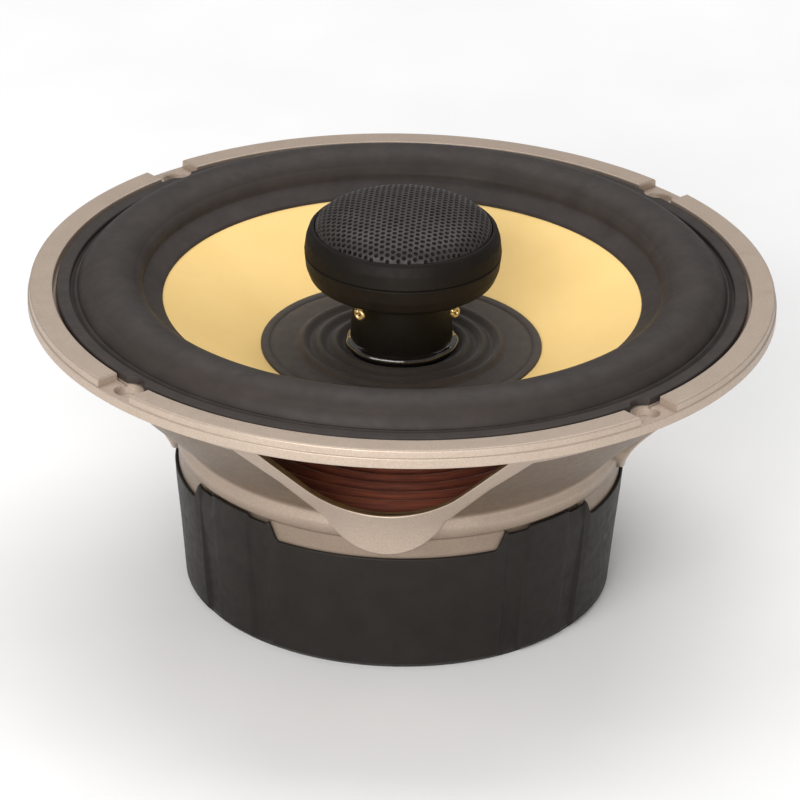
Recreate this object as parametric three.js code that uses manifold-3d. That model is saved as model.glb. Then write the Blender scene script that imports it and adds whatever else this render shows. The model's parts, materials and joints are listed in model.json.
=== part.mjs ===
// Coaxial car speaker: a full-range driver with a tweeter on a fixed post in front of its cone.
// Millimetres, +Z towards the listener. The origin is the centre of the magnet boot's foot, on
// which the speaker stands. The four windows of the basket face -Y, +X, +Y and -X.
import * as THREE from "three";
import { mergeVertices } from "three/addons/utils/BufferGeometryUtils.js";
import Module from "manifold-3d";

const wasm = await Module();
wasm.setup();

// ---------------------------------------------------------------- driving dimensions
const GLUE = 0.05; // space left for the glue between two bonded pieces
const CLEARANCE = 0.35; // space between pieces that are cut to each other
const OVERRUN = 1; // how far a cutter runs past what it cuts
const RING_SIDES = 40; // facets of the large turned pieces
const TWEETER_SIDES = 32; // facets of the tweeter housing
const SMALL_SIDES = 24; // facets of the small turned pieces
const QUARTERS = [0, 90, 180, 270]; // the windows, as turns about Z from the one that faces -Y
const DIAGONALS = [45, 135, 225, 315]; // the mounting holes and the boot's tall walls

// flange and rim
const RIM_TOP = 71; // front face of the rim above the foot
const FLANGE_R = 82.5;
const FLANGE_THICKNESS = 4.2; // rim front face to the seat on the door panel
const RIM_INNER_R = 77;
const RIM_STEP = 0.3; // the rim stands back from the flange's edge by this
const TAB_DROP = 1.8; // the screw tabs lie this far below the rim
const HOLE_CIRCLE_R = 78.15;
const HOLE_R = 2.75;
const NOTCH_HALF = 5.2; // half width of the gap in the rim at each hole
const MOUTH_R = 71.5; // opening of the basket in front
const MOUTH_LIP = 3.8; // thickness of the flange at the mouth, back from the rim front

// basket
const CONE_TOP_R = 78.2; // where the basket's cone meets the flange's back
const CONE_SLOPE = 0.894; // radius lost for each millimetre down
const COLLAR_DEPTH = 9.6; // rim top to the upper edge of the recessed panels
const PANEL_RECESS = 1.1; // how far the panels lie below the straps
const BASKET_WALL = 2.4;
const EDGE_STEP = 0.6; // inner corners of the wall lie this far behind the outer ones
const SHELF_DEPTH = 34.9; // rim top to the shelf that carries the spider
const SKIRT_R = 49.2;
const SKIRT_WALL = 2.6;
const SHELF_LEDGE = 2; // the wall below the shelf stands in by this
const SHELF_BEVEL = { inset: 0.9, drop: 1.4 }; // sloped edge between the panels and the skirt
const FLOOR_Z = 24; // back of the basket's floor, on the front plate
const FLOOR_THICKNESS = 2;
const WINDOW_BOTTOM_DEPTH = 29.1; // rim top to the lowest point of a window
const WINDOW_TOP_DEPTH = 6.4;
const WINDOW_ARC_R = 21; // round bottom of a window
const WINDOW_SIDE_ANGLE = 50.8; // slope of its straight sides
const STRAP_WIDTH = 4;
const STRAP_END = 3.4; // the straps run into the apron this far above the shelf
const CHIN_R = 13.4; // round apron below each window
const CHIN_CENTRE_DEPTH = 28;
const CHIN_SPAN = 16; // its arc starts and ends this many degrees below level

// soft front parts
const SURROUND_LIP_R = 74.5;
const ROLL_OUTER_R = 71;
const ROLL_INNER_R = 57.6;
const ROLL_HEIGHT = 4.7; // crest of the roll above the rim
const ROLL_SKIN = 0.8;
const LAND_INNER_R = 52.8; // where the rubber ends and the bare cone begins
const LAND_INNER_DEPTH = 3.4; // rim top to the cone's face at that radius
const GASKET_INNER_R = 73.1;
const GASKET_OUTER_R = 76.2;
const GASKET_CLEAR_R = 3.5; // free circle round each mounting hole
const GASKET_DROP = 0.15; // the gasket's face lies this far below the rim
const SURROUND_LIP = 0.6; // thickness of the surround's flat edges

// moving cone and voice coil
const CONE_EDGE_R = 57.2;
const CONE_SKIN = 0.8;
const CONE_ANGLE = 27.9;
const COIL_BORE_R = 13;
const FORMER_WALL = 0.4;
const WINDING_DEPTH = 0.6;
const WINDING_LENGTH = 11;
const FORMER_END = 0.6; // bare former at both ends
const NECK_LAND = 0.8; // the cone is level for this much round the former
const SEAL_OUTER_R = 31.1; // the corrugated dust seal between the cone and the post
const SEAL_SKIN = 0.5;
const SEAL_RIDGES = 4;
const SPIDER_SKIN = 0.6;
const SPIDER_RIDGES = 5;

// magnet and its boot
const BOOT_TOP_R = 50.4;
const BOOT_FOOT_R = 47.4;
const BOOT_FOOT_BEVEL = 1.3;
const BOOT_WALL_HEIGHT = 32.6; // foot to the top edge on the diagonals
const BOOT_NOTCH_DROP = 4.1;
const BOOT_NOTCH_HALF_ANGLE = 28.4; // half width of the low edge below each window
const BOOT_NOTCH_SLANT = 3.3; // extra half width at the top of a notch
const BOOT_PANEL_RECESS = 0.7; // the walls between the panels stand back by this
const BOOT_RIB_HALF_ANGLE = 8.3;
const BOOT_STEP = 3; // height of the slope between its two inner radii
const BOOT_BASE = 1.5;
const BOOT_EYE_R = 30; // opening in the foot that shows the back plate
const MAGNET_R = 44.6;
const MAGNET_BORE_R = 22;
const FRONT_PLATE_THICKNESS = 5;
const BACK_PLATE_THICKNESS = 5;
const POLE_BORE_R = 3.2;
const POLE_RISE = 2; // the pole stands above the front plate by this
const PLATE_INSET = 1; // the front plate is smaller than the magnet by this
const YOKE_BEVEL = 1.4;
const COUNTERBORE = { radius: 10, depth: 2.6 }; // sinks the post's screw into the yoke
const SHORTING_RING = { wall: 5.55, height: 3.15 };
const SCREW = { circleR: 36, headR: 3.6, headHeight: 2.2, bevel: 1, slotWidth: 0.9, slotDepth: 0.8 };
const COIL_GAP = 0.6; // free space inside and outside the voice coil

// tweeter on its post
const POST_R = 10.8;
const POST_BASE_R = 11.3;
const POST_BASE_TOP_DEPTH = 8.2; // rim top down to the step on the post
const POST_BEVEL = { inset: 0.6, rise: 1 - GLUE }; // edge of the post's foot
const POST_STEP_RISE = 0.8;
const POST_BORE_R = 2.6;
const POST_SEAT_R = 7; // the wire channel widens above the screw's thread
const POST_SEAT_DEPTH = 30; // rim top to the bottom of the wide channel
const POST_SCREW = { radius: 2.2, headR: 4.4, headHeight: 2.2, tipDepth: 36 };
const WASHER_THICKNESS = 1;
const CUP_BOTTOM = 0.6; // tweeter cup's underside above the rim
const TWEETER_SEAM = 8; // seam of the tweeter housing above the rim
const TWEETER_R = 21.75;
const CUP_BOTTOM_R = 17.4;
const BEZEL_TOP = 13.8;
const BEZEL_TOP_R = 20.3;
const BEZEL_INNER_R = 19.6;
const GRILLE_RISE = 5.8;
const GRILLE_FULLNESS = 2.3; // 2 makes an elliptical dome, and more a squarer shoulder
const GRILLE_SKIN = 0.6;
const GRILLE_LEDGE = 0.8; // the grille's edge lies this far below the bezel's lip
const GRILLE_SEAT = 1.2; // width of the ledge that carries the grille
const TWEETER_WALL = 1.2;
const DOME_R = 10;
const DOME_RISE = 2.8;
const DOME_SKIN = 0.35;
const DOME_SURROUND_R = 13.2;
const TWEETER_COIL_WALL = 0.5;
const TWEETER_COIL_DEPTH = 1.8; // how far the coil reaches into its gap
const TWEETER_GAP = { inside: 0.9, outside: 1.1 }; // pole and yoke wall, each side of radius DOME_R
const TWEETER_YOKE = { radius: 14, base: 1.8, rise: 0.4 }; // it ends above the seam by rise
const TWEETER_MAGNET_HEIGHT = 3.4;
const FACE_THICKNESS = 1.2;
const LUG = { circleR: 15.6, width: 2, thickness: 0.9, length: 2.2, beadR: 0.95, beadDrop: 2.6 };

// rear connection
const BOARD = { width: 26, height: 8, thickness: 1.6 };
const BOARD_DEPTH = 37.7; // rim top to the middle of the terminal board
const BOARD_STANDOFF = 5.4; // middle of the board outside the basket's skirt
const SPACER = { width: 7, depth: 6, height: 5 };
const RIVET = { radius: 1.4, tail: 1.4, head: 1.2, headThickness: 1.05 };
const BLADE = { x: 8.2, wide: 4.8, narrow: 2.8, length: 8.5, thickness: 0.8, rise: 2.1, foot: 5 };
const CAPACITOR_R = 4;
const CAPACITOR_LENGTH = 15;
const CAPACITOR_BEVEL = { inset: 0.6, length: 0.8 };
const CAPACITOR_TURN = 25; // degrees round from the board
const CAPACITOR_DROP = 0.2; // its axis below the middle of the board
const PAD_WIDTH = 8;
const PAD_HEIGHT = 4;

// ---------------------------------------------------------------- worked out from them
const DEG = Math.PI / 180;
const SEAT_Z = RIM_TOP - TAB_DROP; // the level of the tabs and of the surround's seat
const FLANGE_BACK = RIM_TOP - FLANGE_THICKNESS;
const SHELF_Z = RIM_TOP - SHELF_DEPTH;
const SKIRT_INNER_R = SKIRT_R - SKIRT_WALL;
const FORMER_OUTER_R = COIL_BORE_R + FORMER_WALL;
const NECK_R = FORMER_OUTER_R + GLUE;
const POLE_R = COIL_BORE_R - COIL_GAP;
const GAP_R = FORMER_OUTER_R + WINDING_DEPTH + COIL_GAP; // outer wall of the magnetic gap
const PLATE_TOP = FLOOR_Z - GLUE;
const PLATE_BOTTOM = PLATE_TOP - FRONT_PLATE_THICKNESS;
const FLOOR_BORE_R = GAP_R + 2; // opening of the basket's floor round the coil
const BACK_PLATE_TOP = BOOT_BASE + GLUE + BACK_PLATE_THICKNESS;
const GAP_CENTRE = (PLATE_TOP + PLATE_BOTTOM) / 2;
const POLE_TOP = PLATE_TOP + POLE_RISE;
const YOKE_BACK = BOOT_BASE + GLUE;
const SEAM_Z = RIM_TOP + TWEETER_SEAM;

// Level of the cone's front face at radius r.
const coneFront = (r) =>
  RIM_TOP - LAND_INNER_DEPTH - (LAND_INNER_R - r) * Math.tan(CONE_ANGLE * DEG);
// Radius of the basket's outside at height z, at the level of the straps.
const basketOuter = (z) => CONE_TOP_R - CONE_SLOPE * (FLANGE_BACK - z);

// ---------------------------------------------------------------- materials
const finish = (color, roughness, metalness) =>
  new THREE.MeshStandardMaterial({ color, roughness, metalness });
const champagne = finish(0xb9a797, 0.45, 0.6);
const rubber = finish(0x403b38, 0.55, 0);
const bootRubber = finish(0x332e2b, 0.5, 0);
const aramid = finish(0xf2c882, 0.6, 0);
const sealCloth = finish(0x40382f, 0.8, 0);
const spiderCloth = finish(0x5a2d1e, 0.9, 0);
const blackPlastic = finish(0x2b2520, 0.45, 0);
const blackSteel = finish(0x2a2725, 0.5, 0.6);
const steel = finish(0x8d8d90, 0.4, 1);
const ferrite = finish(0x3a3a3c, 0.8, 0.1);
const neodymium = finish(0xb8b9bc, 0.3, 1);
const copper = finish(0xb56a3c, 0.35, 1);
const brass = finish(0xd9b45a, 0.3, 1);
const silk = finish(0x1f1d1c, 0.8, 0);
const glue = finish(0x1b1816, 0.15, 0);
const formerFilm = finish(0xc9a24e, 0.4, 0);
const phenolic = finish(0x6a4a2a, 0.7, 0);
const sleeve = finish(0x2f4f8a, 0.4, 0);

// ---------------------------------------------------------------- shape helpers
const speaker = new THREE.Group();

// A closed geometry as a solid that booleans can use, whichever way its faces were wound.
function solidOf(geometry) {
  const bare = new THREE.BufferGeometry();
  bare.setAttribute("position", geometry.getAttribute("position"));
  bare.setIndex(geometry.index);
  const merged = mergeVertices(bare, 1e-4);
  const corners = [];
  const index = merged.index.array;
  for (let i = 0; i < index.length; i += 3) {
    const [a, b, c] = [index[i], index[i + 1], index[i + 2]];
    if (a !== b && b !== c && c !== a) corners.push(a, b, c);
  }
  const vertProperties = merged.attributes.position.array;
  const build = (triVerts) =>
    new wasm.Manifold(new wasm.Mesh({ numProp: 3, vertProperties, triVerts }));
  const made = build(new Uint32Array(corners));
  return made.volume() > 0 ? made : build(new Uint32Array(corners.reverse()));
}

// A solid turned about Z from a closed outline of [radius, height] points.
function turned(outline, sides = RING_SIDES) {
  const points = outline.map(([r, z]) => new THREE.Vector2(r, z));
  const onAxis = outline[0][0] === 0 && outline.at(-1)[0] === 0;
  if (!onAxis) points.push(points[0].clone());
  return solidOf(new THREE.LatheGeometry(points, sides).rotateX(Math.PI / 2));
}

// A plain ring between two radii and two heights.
const ring = (inner, outer, bottom, top, sides) =>
  turned([[inner, bottom], [outer, bottom], [outer, top], [inner, top]], sides);

// A plain disc or rod.
const rod = (radius, bottom, top, sides) =>
  turned([[0, bottom], [radius, bottom], [radius, top], [0, top]], sides);

// A turned skin of even thickness along a list of [radius, height] points of its front face.
function skin(front, thickness, sides) {
  const back = front.map(([r, z]) => [r, z - thickness]).reverse();
  return turned([...front, ...back], sides);
}

const block = (width, depth, height, x, y, z) =>
  solidOf(new THREE.BoxGeometry(width, depth, height).translate(x, y, z));

// A flat outline of [x, z] points, extruded from y = near to y = far.
function plate(outline, near, far) {
  const shape = new THREE.Shape(outline.map(([x, z]) => new THREE.Vector2(x, z)));
  const geometry = new THREE.ExtrudeGeometry(shape, { depth: far - near, bevelEnabled: false });
  return solidOf(geometry.rotateX(Math.PI / 2).translate(0, far, 0));
}

// A flat outline of [x, y] points, extruded from bottom to top.
function slab(outline, bottom, top) {
  const shape = new THREE.Shape(outline.map(([x, y]) => new THREE.Vector2(x, y)));
  const geometry = new THREE.ExtrudeGeometry(shape, { depth: top - bottom, bevelEnabled: false });
  return solidOf(geometry.translate(0, 0, bottom));
}

const turn = (solid, degrees) => solid.rotate([0, 0, degrees]);
const joined = (solids) => solids.reduce((all, one) => all.add(one));
const cut = (solid, cutters) => cutters.reduce((left, cutter) => left.subtract(cutter), solid);
const atEach = (angles, solid) => angles.map((angle) => turn(solid, angle));

// Points of a circular arc from one angle to another, in degrees.
function arc(centreX, centreY, radius, from, to, steps) {
  return Array.from({ length: steps + 1 }, (_, i) => {
    const angle = (from + ((to - from) * i) / steps) * DEG;
    return [centreX + radius * Math.cos(angle), centreY + radius * Math.sin(angle)];
  });
}

// Adds a solid to the speaker as a named mesh.
function place(name, material, solid) {
  const made = solid.getMesh();
  const count = made.vertProperties.length / made.numProp;
  const positions = new Float32Array(count * 3);
  for (let i = 0; i < count; i++) {
    const start = i * made.numProp;
    positions.set(made.vertProperties.subarray(start, start + 3), i * 3);
  }
  const geometry = new THREE.BufferGeometry();
  geometry.setAttribute("position", new THREE.BufferAttribute(positions, 3));
  geometry.setIndex(new THREE.BufferAttribute(made.triVerts, 1));
  geometry.computeVertexNormals();
  const mesh = new THREE.Mesh(geometry, material);
  mesh.name = name;
  speaker.add(mesh);
}

// ---------------------------------------------------------------- basket
// Half the outline of a window grown by a margin: its straight side, then its round bottom.
function windowOutline(margin, topZ) {
  const radius = WINDOW_ARC_R + margin;
  const centreZ = RIM_TOP - WINDOW_BOTTOM_DEPTH + WINDOW_ARC_R;
  const right = arc(0, centreZ, radius, -90 + WINDOW_SIDE_ANGLE, -90, 7);
  const [x, z] = right[0];
  const top = [x + (topZ - z) / Math.tan(WINDOW_SIDE_ANGLE * DEG), topZ];
  const half = [top, ...right];
  const mirrored = half.slice(0, -1).map(([px, pz]) => [-px, pz]).reverse();
  return [...half, ...mirrored];
}

// The outside of the straps and of the aprons below the windows, grown by a margin. It follows
// the basket's cone down to a bend at the foot of the windows, then steepens to the skirt.
const CHIN_BOTTOM_Z = RIM_TOP - CHIN_CENTRE_DEPTH - CHIN_R - 0.4;
const APRON_BEND = { above: 0.6, firstDrop: 4.6, firstInset: 3.3, lastDrop: 8.4 };
const APRON_PROUD = { middle: 2.1, bottom: 1.1 }; // how far it stands outside the skirt
function proudOutline(margin) {
  const bendZ = RIM_TOP - WINDOW_BOTTOM_DEPTH + APRON_BEND.above;
  return [
    [CONE_TOP_R, FLANGE_BACK],
    [basketOuter(bendZ), bendZ],
    [basketOuter(bendZ) - APRON_BEND.firstInset, bendZ - APRON_BEND.firstDrop],
    [SKIRT_R + APRON_PROUD.middle, bendZ - APRON_BEND.lastDrop],
    [SKIRT_R + APRON_PROUD.bottom, CHIN_BOTTOM_Z],
  ].map(([r, z]) => [r + margin, z]);
}

function basket() {
  const collarZ = RIM_TOP - COLLAR_DEPTH;
  const inset = PANEL_RECESS / Math.cos(Math.atan(CONE_SLOPE));
  const inward = BASKET_WALL / Math.cos(Math.atan(CONE_SLOPE));
  const shelfR = basketOuter(SHELF_Z) - inset - EDGE_STEP;
  const frame = turned([
    [MOUTH_R, SEAT_Z],
    [RIM_INNER_R, SEAT_Z],
    [RIM_INNER_R, RIM_TOP],
    [FLANGE_R - RIM_STEP, RIM_TOP],
    [FLANGE_R - RIM_STEP, SEAT_Z],
    [FLANGE_R, SEAT_Z],
    [FLANGE_R, FLANGE_BACK],
    [CONE_TOP_R, FLANGE_BACK],
    [basketOuter(collarZ), collarZ],
    [basketOuter(collarZ) - inset, collarZ - 0.3],
    [SKIRT_R - SHELF_BEVEL.inset, SHELF_Z],
    [SKIRT_R, SHELF_Z - SHELF_BEVEL.drop],
    [SKIRT_R, FLOOR_Z],
    [FLOOR_BORE_R, FLOOR_Z],
    [FLOOR_BORE_R, FLOOR_Z + FLOOR_THICKNESS],
    [SKIRT_INNER_R - SHELF_LEDGE, FLOOR_Z + FLOOR_THICKNESS],
    [SKIRT_INNER_R - SHELF_LEDGE, SHELF_Z - EDGE_STEP],
    [Math.min(shelfR, SKIRT_INNER_R), SHELF_Z - EDGE_STEP],
    [basketOuter(collarZ) - inset - inward, collarZ],
    [basketOuter(FLANGE_BACK - EDGE_STEP) - inward, FLANGE_BACK - EDGE_STEP],
    [MOUTH_R, RIM_TOP - MOUTH_LIP],
  ]);

  // The straps beside each window and the apron under it stand proud of the panels.
  const proud = turned([
    ...proudOutline(0),
    [SKIRT_INNER_R + EDGE_STEP, CHIN_BOTTOM_Z],
    [SKIRT_INNER_R + EDGE_STEP, SHELF_Z],
    [basketOuter(collarZ) - inset - inward, collarZ],
    [basketOuter(FLANGE_BACK) - inward, FLANGE_BACK],
  ]);
  const sector = windowOutline(STRAP_WIDTH, FLANGE_BACK).filter(([, z]) => z > SHELF_Z + STRAP_END);
  const chin = arc(0, RIM_TOP - CHIN_CENTRE_DEPTH, CHIN_R, -CHIN_SPAN, CHIN_SPAN - 180, 12);
  const right = sector.filter(([x]) => x > 0);
  const left = sector.filter(([x]) => x < 0);
  const strapPlate = plate([...right, ...chin, ...left], -FLANGE_R, -SKIRT_R / 2);
  const straps = atEach(QUARTERS, strapPlate.intersect(proud));

  const windowCut = plate(windowOutline(0, RIM_TOP - WINDOW_TOP_DEPTH), -FLANGE_R - OVERRUN, -SKIRT_R / 2);
  const notch = block(2 * NOTCH_HALF, 12, 4, 0, -RIM_INNER_R - 5.4, SEAT_Z + 2);
  const hole = rod(HOLE_R, FLANGE_BACK - 8, SEAT_Z + OVERRUN, 24).translate([0, -HOLE_CIRCLE_R, 0]);
  const cutters = [
    ...atEach(QUARTERS, windowCut),
    ...atEach(DIAGONALS, notch),
    ...atEach(DIAGONALS, hole),
  ];
  return cut(joined([frame, ...straps]), cutters);
}
place("basket", champagne, basket());

// ---------------------------------------------------------------- gasket and surround
function gasket() {
  const body = turned([
    [GASKET_INNER_R, SEAT_Z + SURROUND_LIP + 2 * GLUE],
    [SURROUND_LIP_R + 0.2, SEAT_Z + SURROUND_LIP + 2 * GLUE],
    [SURROUND_LIP_R + 0.2, SEAT_Z + GLUE],
    [GASKET_OUTER_R, SEAT_Z + GLUE],
    [GASKET_OUTER_R, RIM_TOP - GASKET_DROP],
    [GASKET_INNER_R, RIM_TOP - GASKET_DROP],
  ]);
  const relief = rod(GASKET_CLEAR_R, SEAT_Z - OVERRUN, RIM_TOP + OVERRUN, 24)
    .translate([0, -HOLE_CIRCLE_R, 0]);
  return cut(body, atEach(DIAGONALS, relief));
}
place("surround_gasket", rubber, gasket());

function surround() {
  const lipTop = SEAT_Z + GLUE + SURROUND_LIP;
  const innerZ = coneFront(ROLL_INNER_R) + SURROUND_LIP + 0.1;
  const middleR = (ROLL_OUTER_R + ROLL_INNER_R) / 2;
  const halfWidth = (ROLL_OUTER_R - ROLL_INNER_R) / 2;
  const crest = RIM_TOP + ROLL_HEIGHT;
  const roll = arc(0, 0, 1, 0, 180, 7).map(([x, y]) => {
    const base = lipTop + ((innerZ - lipTop) * (1 - x)) / 2;
    return [middleR + halfWidth * x, base + (crest - base) * y];
  });
  const lip = [SURROUND_LIP_R, lipTop];
  const land = [LAND_INNER_R, coneFront(LAND_INNER_R) + SURROUND_LIP + 0.1];
  const front = [lip, ...roll, land];
  const backOf = ([r, z], i) => {
    if (i === 0 || i === front.length - 1) return [r, z - SURROUND_LIP];
    const inset = 1 - ROLL_SKIN / halfWidth;
    return [middleR + (r - middleR) * inset, z - ROLL_SKIN];
  };
  const lipCorner = [ROLL_OUTER_R - ROLL_SKIN, lipTop - SURROUND_LIP];
  const landCorner = [ROLL_INNER_R + ROLL_SKIN, coneFront(ROLL_INNER_R + ROLL_SKIN) + 0.1];
  const under = front.map(backOf).slice(2, -2);
  const back = [land[0], land[1] - SURROUND_LIP];
  return turned([
    ...front,
    back,
    landCorner,
    ...under.reverse(),
    lipCorner,
    [SURROUND_LIP_R, lipTop - SURROUND_LIP],
  ]);
}
place("surround", rubber, surround());

// ---------------------------------------------------------------- cone, dust seal and spider
place("cone", aramid, skin(
  [
    [CONE_EDGE_R, coneFront(CONE_EDGE_R)],
    [SEAL_OUTER_R, coneFront(SEAL_OUTER_R)],
    [NECK_R + NECK_LAND, coneFront(NECK_R + NECK_LAND)],
    [NECK_R, coneFront(NECK_R + NECK_LAND)],
  ],
  CONE_SKIN,
));

// A wavy skin from one radius to another; the ends are flat lands of the given widths.
function corrugated([outerR, outerZ], [innerR, innerZ], ridges, height, landWidths, thickness) {
  const [outerLand, innerLand] = landWidths;
  const waveOuter = outerR - outerLand;
  const waveInner = innerR + innerLand;
  const steps = ridges * 2;
  const points = [[outerR, outerZ]];
  for (let i = 0; i <= steps; i++) {
    const r = waveOuter + ((waveInner - waveOuter) * i) / steps;
    const level = outerZ + ((innerZ - outerZ) * (outerR - r)) / (outerR - innerR);
    points.push([r, level + (i % 2 ? height : 0)]);
  }
  points.push([innerR, innerZ]);
  return skin(points, thickness, SMALL_SIDES);
}

const sealZ = coneFront(SEAL_OUTER_R) + SEAL_SKIN + GLUE + 0.1;
place("dust_seal", sealCloth, corrugated(
  [SEAL_OUTER_R, sealZ],
  [POST_BASE_R + CLEARANCE, sealZ - 0.5],
  SEAL_RIDGES,
  1.1,
  [3.6, 1.2],
  SEAL_SKIN,
));

const SPIDER_OUTER_R = Math.min(SKIRT_INNER_R, basketOuter(SHELF_Z) - 4) - 0.4;
const spiderZ = SHELF_Z + SPIDER_SKIN;
place("spider", spiderCloth, corrugated(
  [SPIDER_OUTER_R, spiderZ],
  [FORMER_OUTER_R + GLUE, spiderZ],
  SPIDER_RIDGES,
  1.8,
  [2.2, 2],
  SPIDER_SKIN,
));

// ---------------------------------------------------------------- voice coil
const formerTop = coneFront(NECK_R + NECK_LAND) + FORMER_END;
const windingTop = GAP_CENTRE + WINDING_LENGTH / 2;
place("voice_coil_former", formerFilm,
  ring(COIL_BORE_R, FORMER_OUTER_R, windingTop - WINDING_LENGTH - FORMER_END, formerTop, SMALL_SIDES));
place("voice_coil_winding", copper,
  ring(FORMER_OUTER_R + GLUE, FORMER_OUTER_R + WINDING_DEPTH,
    windingTop - WINDING_LENGTH, windingTop, SMALL_SIDES));

// ---------------------------------------------------------------- motor
place("front_plate", steel, ring(GAP_R, MAGNET_R - PLATE_INSET, PLATE_BOTTOM, PLATE_TOP));
place("magnet_ring", ferrite,
  ring(MAGNET_BORE_R, MAGNET_R, BACK_PLATE_TOP + GLUE, PLATE_BOTTOM - GLUE));

place("yoke_and_pole", steel, turned([
  [POLE_BORE_R, YOKE_BACK + COUNTERBORE.depth],
  [COUNTERBORE.radius, YOKE_BACK + COUNTERBORE.depth],
  [COUNTERBORE.radius, YOKE_BACK],
  [MAGNET_R - YOKE_BEVEL, YOKE_BACK],
  [MAGNET_R, YOKE_BACK + YOKE_BEVEL],
  [MAGNET_R, BACK_PLATE_TOP],
  [POLE_R, BACK_PLATE_TOP],
  [POLE_R, POLE_TOP],
  [POLE_BORE_R, POLE_TOP],
]));

// A copper sleeve round the foot of the pole evens out the coil's inductance.
place("shorting_ring", copper,
  ring(POLE_R + GLUE, POLE_R + GLUE + SHORTING_RING.wall,
    BACK_PLATE_TOP + GLUE, BACK_PLATE_TOP + GLUE + SHORTING_RING.height));

// ---------------------------------------------------------------- magnet boot
function boot() {
  const taper = (BOOT_TOP_R - BOOT_FOOT_R) / (BOOT_WALL_HEIGHT - BOOT_FOOT_BEVEL);
  const radiusAt = (z) => BOOT_FOOT_R + taper * (z - BOOT_FOOT_BEVEL);
  const innerLow = MAGNET_R + 2 * GLUE;
  const innerHigh = SKIRT_R + 2 * GLUE;
  const aboveWall = BOOT_WALL_HEIGHT + OVERRUN;
  const outside = [
    [BOOT_EYE_R, 0],
    [BOOT_FOOT_R - BOOT_FOOT_BEVEL, 0],
    [BOOT_FOOT_R, BOOT_FOOT_BEVEL],
    [radiusAt(BOOT_WALL_HEIGHT), BOOT_WALL_HEIGHT],
  ];
  const inside = [
    [innerHigh, BOOT_WALL_HEIGHT],
    [innerHigh, FLOOR_Z - 2 * GLUE],
    [innerLow, FLOOR_Z - 2 * GLUE - BOOT_STEP],
    [innerLow, BOOT_BASE],
    [BOOT_EYE_R, BOOT_BASE],
  ];
  const full = turned([...outside, ...inside]);
  // Between the panels below the windows and the rib on each diagonal the wall stands back.
  const shallow = turned([
    [radiusAt(0) - BOOT_PANEL_RECESS, -OVERRUN],
    [BOOT_TOP_R + OVERRUN, -OVERRUN],
    [BOOT_TOP_R + OVERRUN, aboveWall],
    [radiusAt(aboveWall) - BOOT_PANEL_RECESS, aboveWall],
  ]);
  const reach = 2 * BOOT_TOP_R;
  const wedge = (from, to) =>
    slab([[0, 0], ...[from, to].map((a) => [reach * Math.sin(a * DEG), -reach * Math.cos(a * DEG)])],
      -OVERRUN, aboveWall);
  const channels = [
    wedge(BOOT_RIB_HALF_ANGLE, 45 - BOOT_NOTCH_HALF_ANGLE),
    wedge(BOOT_NOTCH_HALF_ANGLE - 45, -BOOT_RIB_HALF_ANGLE),
  ].map((solid) => solid.intersect(shallow));
  const half = BOOT_TOP_R * Math.sin(BOOT_NOTCH_HALF_ANGLE * DEG);
  const halfTop = BOOT_TOP_R * Math.sin((BOOT_NOTCH_HALF_ANGLE + BOOT_NOTCH_SLANT) * DEG);
  const lowZ = BOOT_WALL_HEIGHT - BOOT_NOTCH_DROP;
  const notch = plate([[-half, lowZ], [half, lowZ], [halfTop, aboveWall], [-halfTop, aboveWall]],
    -BOOT_TOP_R - OVERRUN, -SKIRT_R / 2);
  return cut(full, [
    ...channels.flatMap((solid) => atEach(DIAGONALS, solid)),
    ...atEach(QUARTERS, notch),
  ]);
}
place("magnet_boot", bootRubber, boot());

// ---------------------------------------------------------------- basket screws
DIAGONALS.forEach((angle, i) => {
  const bottom = FLOOR_Z + FLOOR_THICKNESS + GLUE;
  const top = bottom + SCREW.headHeight;
  const head = turned([
    [0, bottom],
    [SCREW.headR, bottom],
    [SCREW.headR, top - SCREW.bevel],
    [SCREW.headR - SCREW.bevel, top],
    [0, top],
  ], SMALL_SIDES);
  const slot = block(1.4 * SCREW.headR, SCREW.slotWidth, 2 * SCREW.slotDepth, 0, 0, top);
  const cross = slot.add(turn(slot, 90));
  place(`basket_screw_${i + 1}`, steel,
    turn(head.subtract(cross).translate([0, -SCREW.circleR, 0]), angle));
});

// ---------------------------------------------------------------- post and its screw
const postFootZ = POLE_TOP + GLUE;
const postStepZ = RIM_TOP - POST_BASE_TOP_DEPTH;
const cupBottomZ = RIM_TOP + CUP_BOTTOM;
place("tweeter_post", blackPlastic, turned([
  [POST_BORE_R, postFootZ],
  [POST_BASE_R - POST_BEVEL.inset, postFootZ],
  [POST_BASE_R, postFootZ + POST_BEVEL.rise],
  [POST_BASE_R, postStepZ],
  [POST_R, postStepZ + POST_STEP_RISE],
  [POST_R, cupBottomZ - GLUE],
  [POST_SEAT_R, cupBottomZ - GLUE],
  [POST_SEAT_R, RIM_TOP - POST_SEAT_DEPTH],
  [POST_BORE_R, RIM_TOP - POST_SEAT_DEPTH],
], SMALL_SIDES));

// A bead of glue in the corner between the seal and the post.
place("post_glue_ring", glue, turned([
  [GLUE, 0],
  [1.3, 0.35],
  [1.1, 1],
  [0.5, 1.5],
  [GLUE, 1.7],
].map(([r, z]) => [POST_BASE_R + r, sealZ + z]), SMALL_SIDES));

const washerTop = YOKE_BACK + COUNTERBORE.depth - GLUE;
const washerBottom = washerTop - WASHER_THICKNESS;
place("post_washer", steel,
  ring(POST_SCREW.radius + GLUE, COUNTERBORE.radius - 1, washerBottom, washerTop, SMALL_SIDES));

const headTop = washerBottom - GLUE;
const hexHead = rod(POST_SCREW.headR, headTop - POST_SCREW.headHeight, headTop, 6);
const shank = rod(POST_SCREW.radius, headTop - POST_SCREW.headHeight / 2, RIM_TOP - POST_SCREW.tipDepth, 12);
place("post_screw", steel, hexHead.add(shank));

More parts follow.
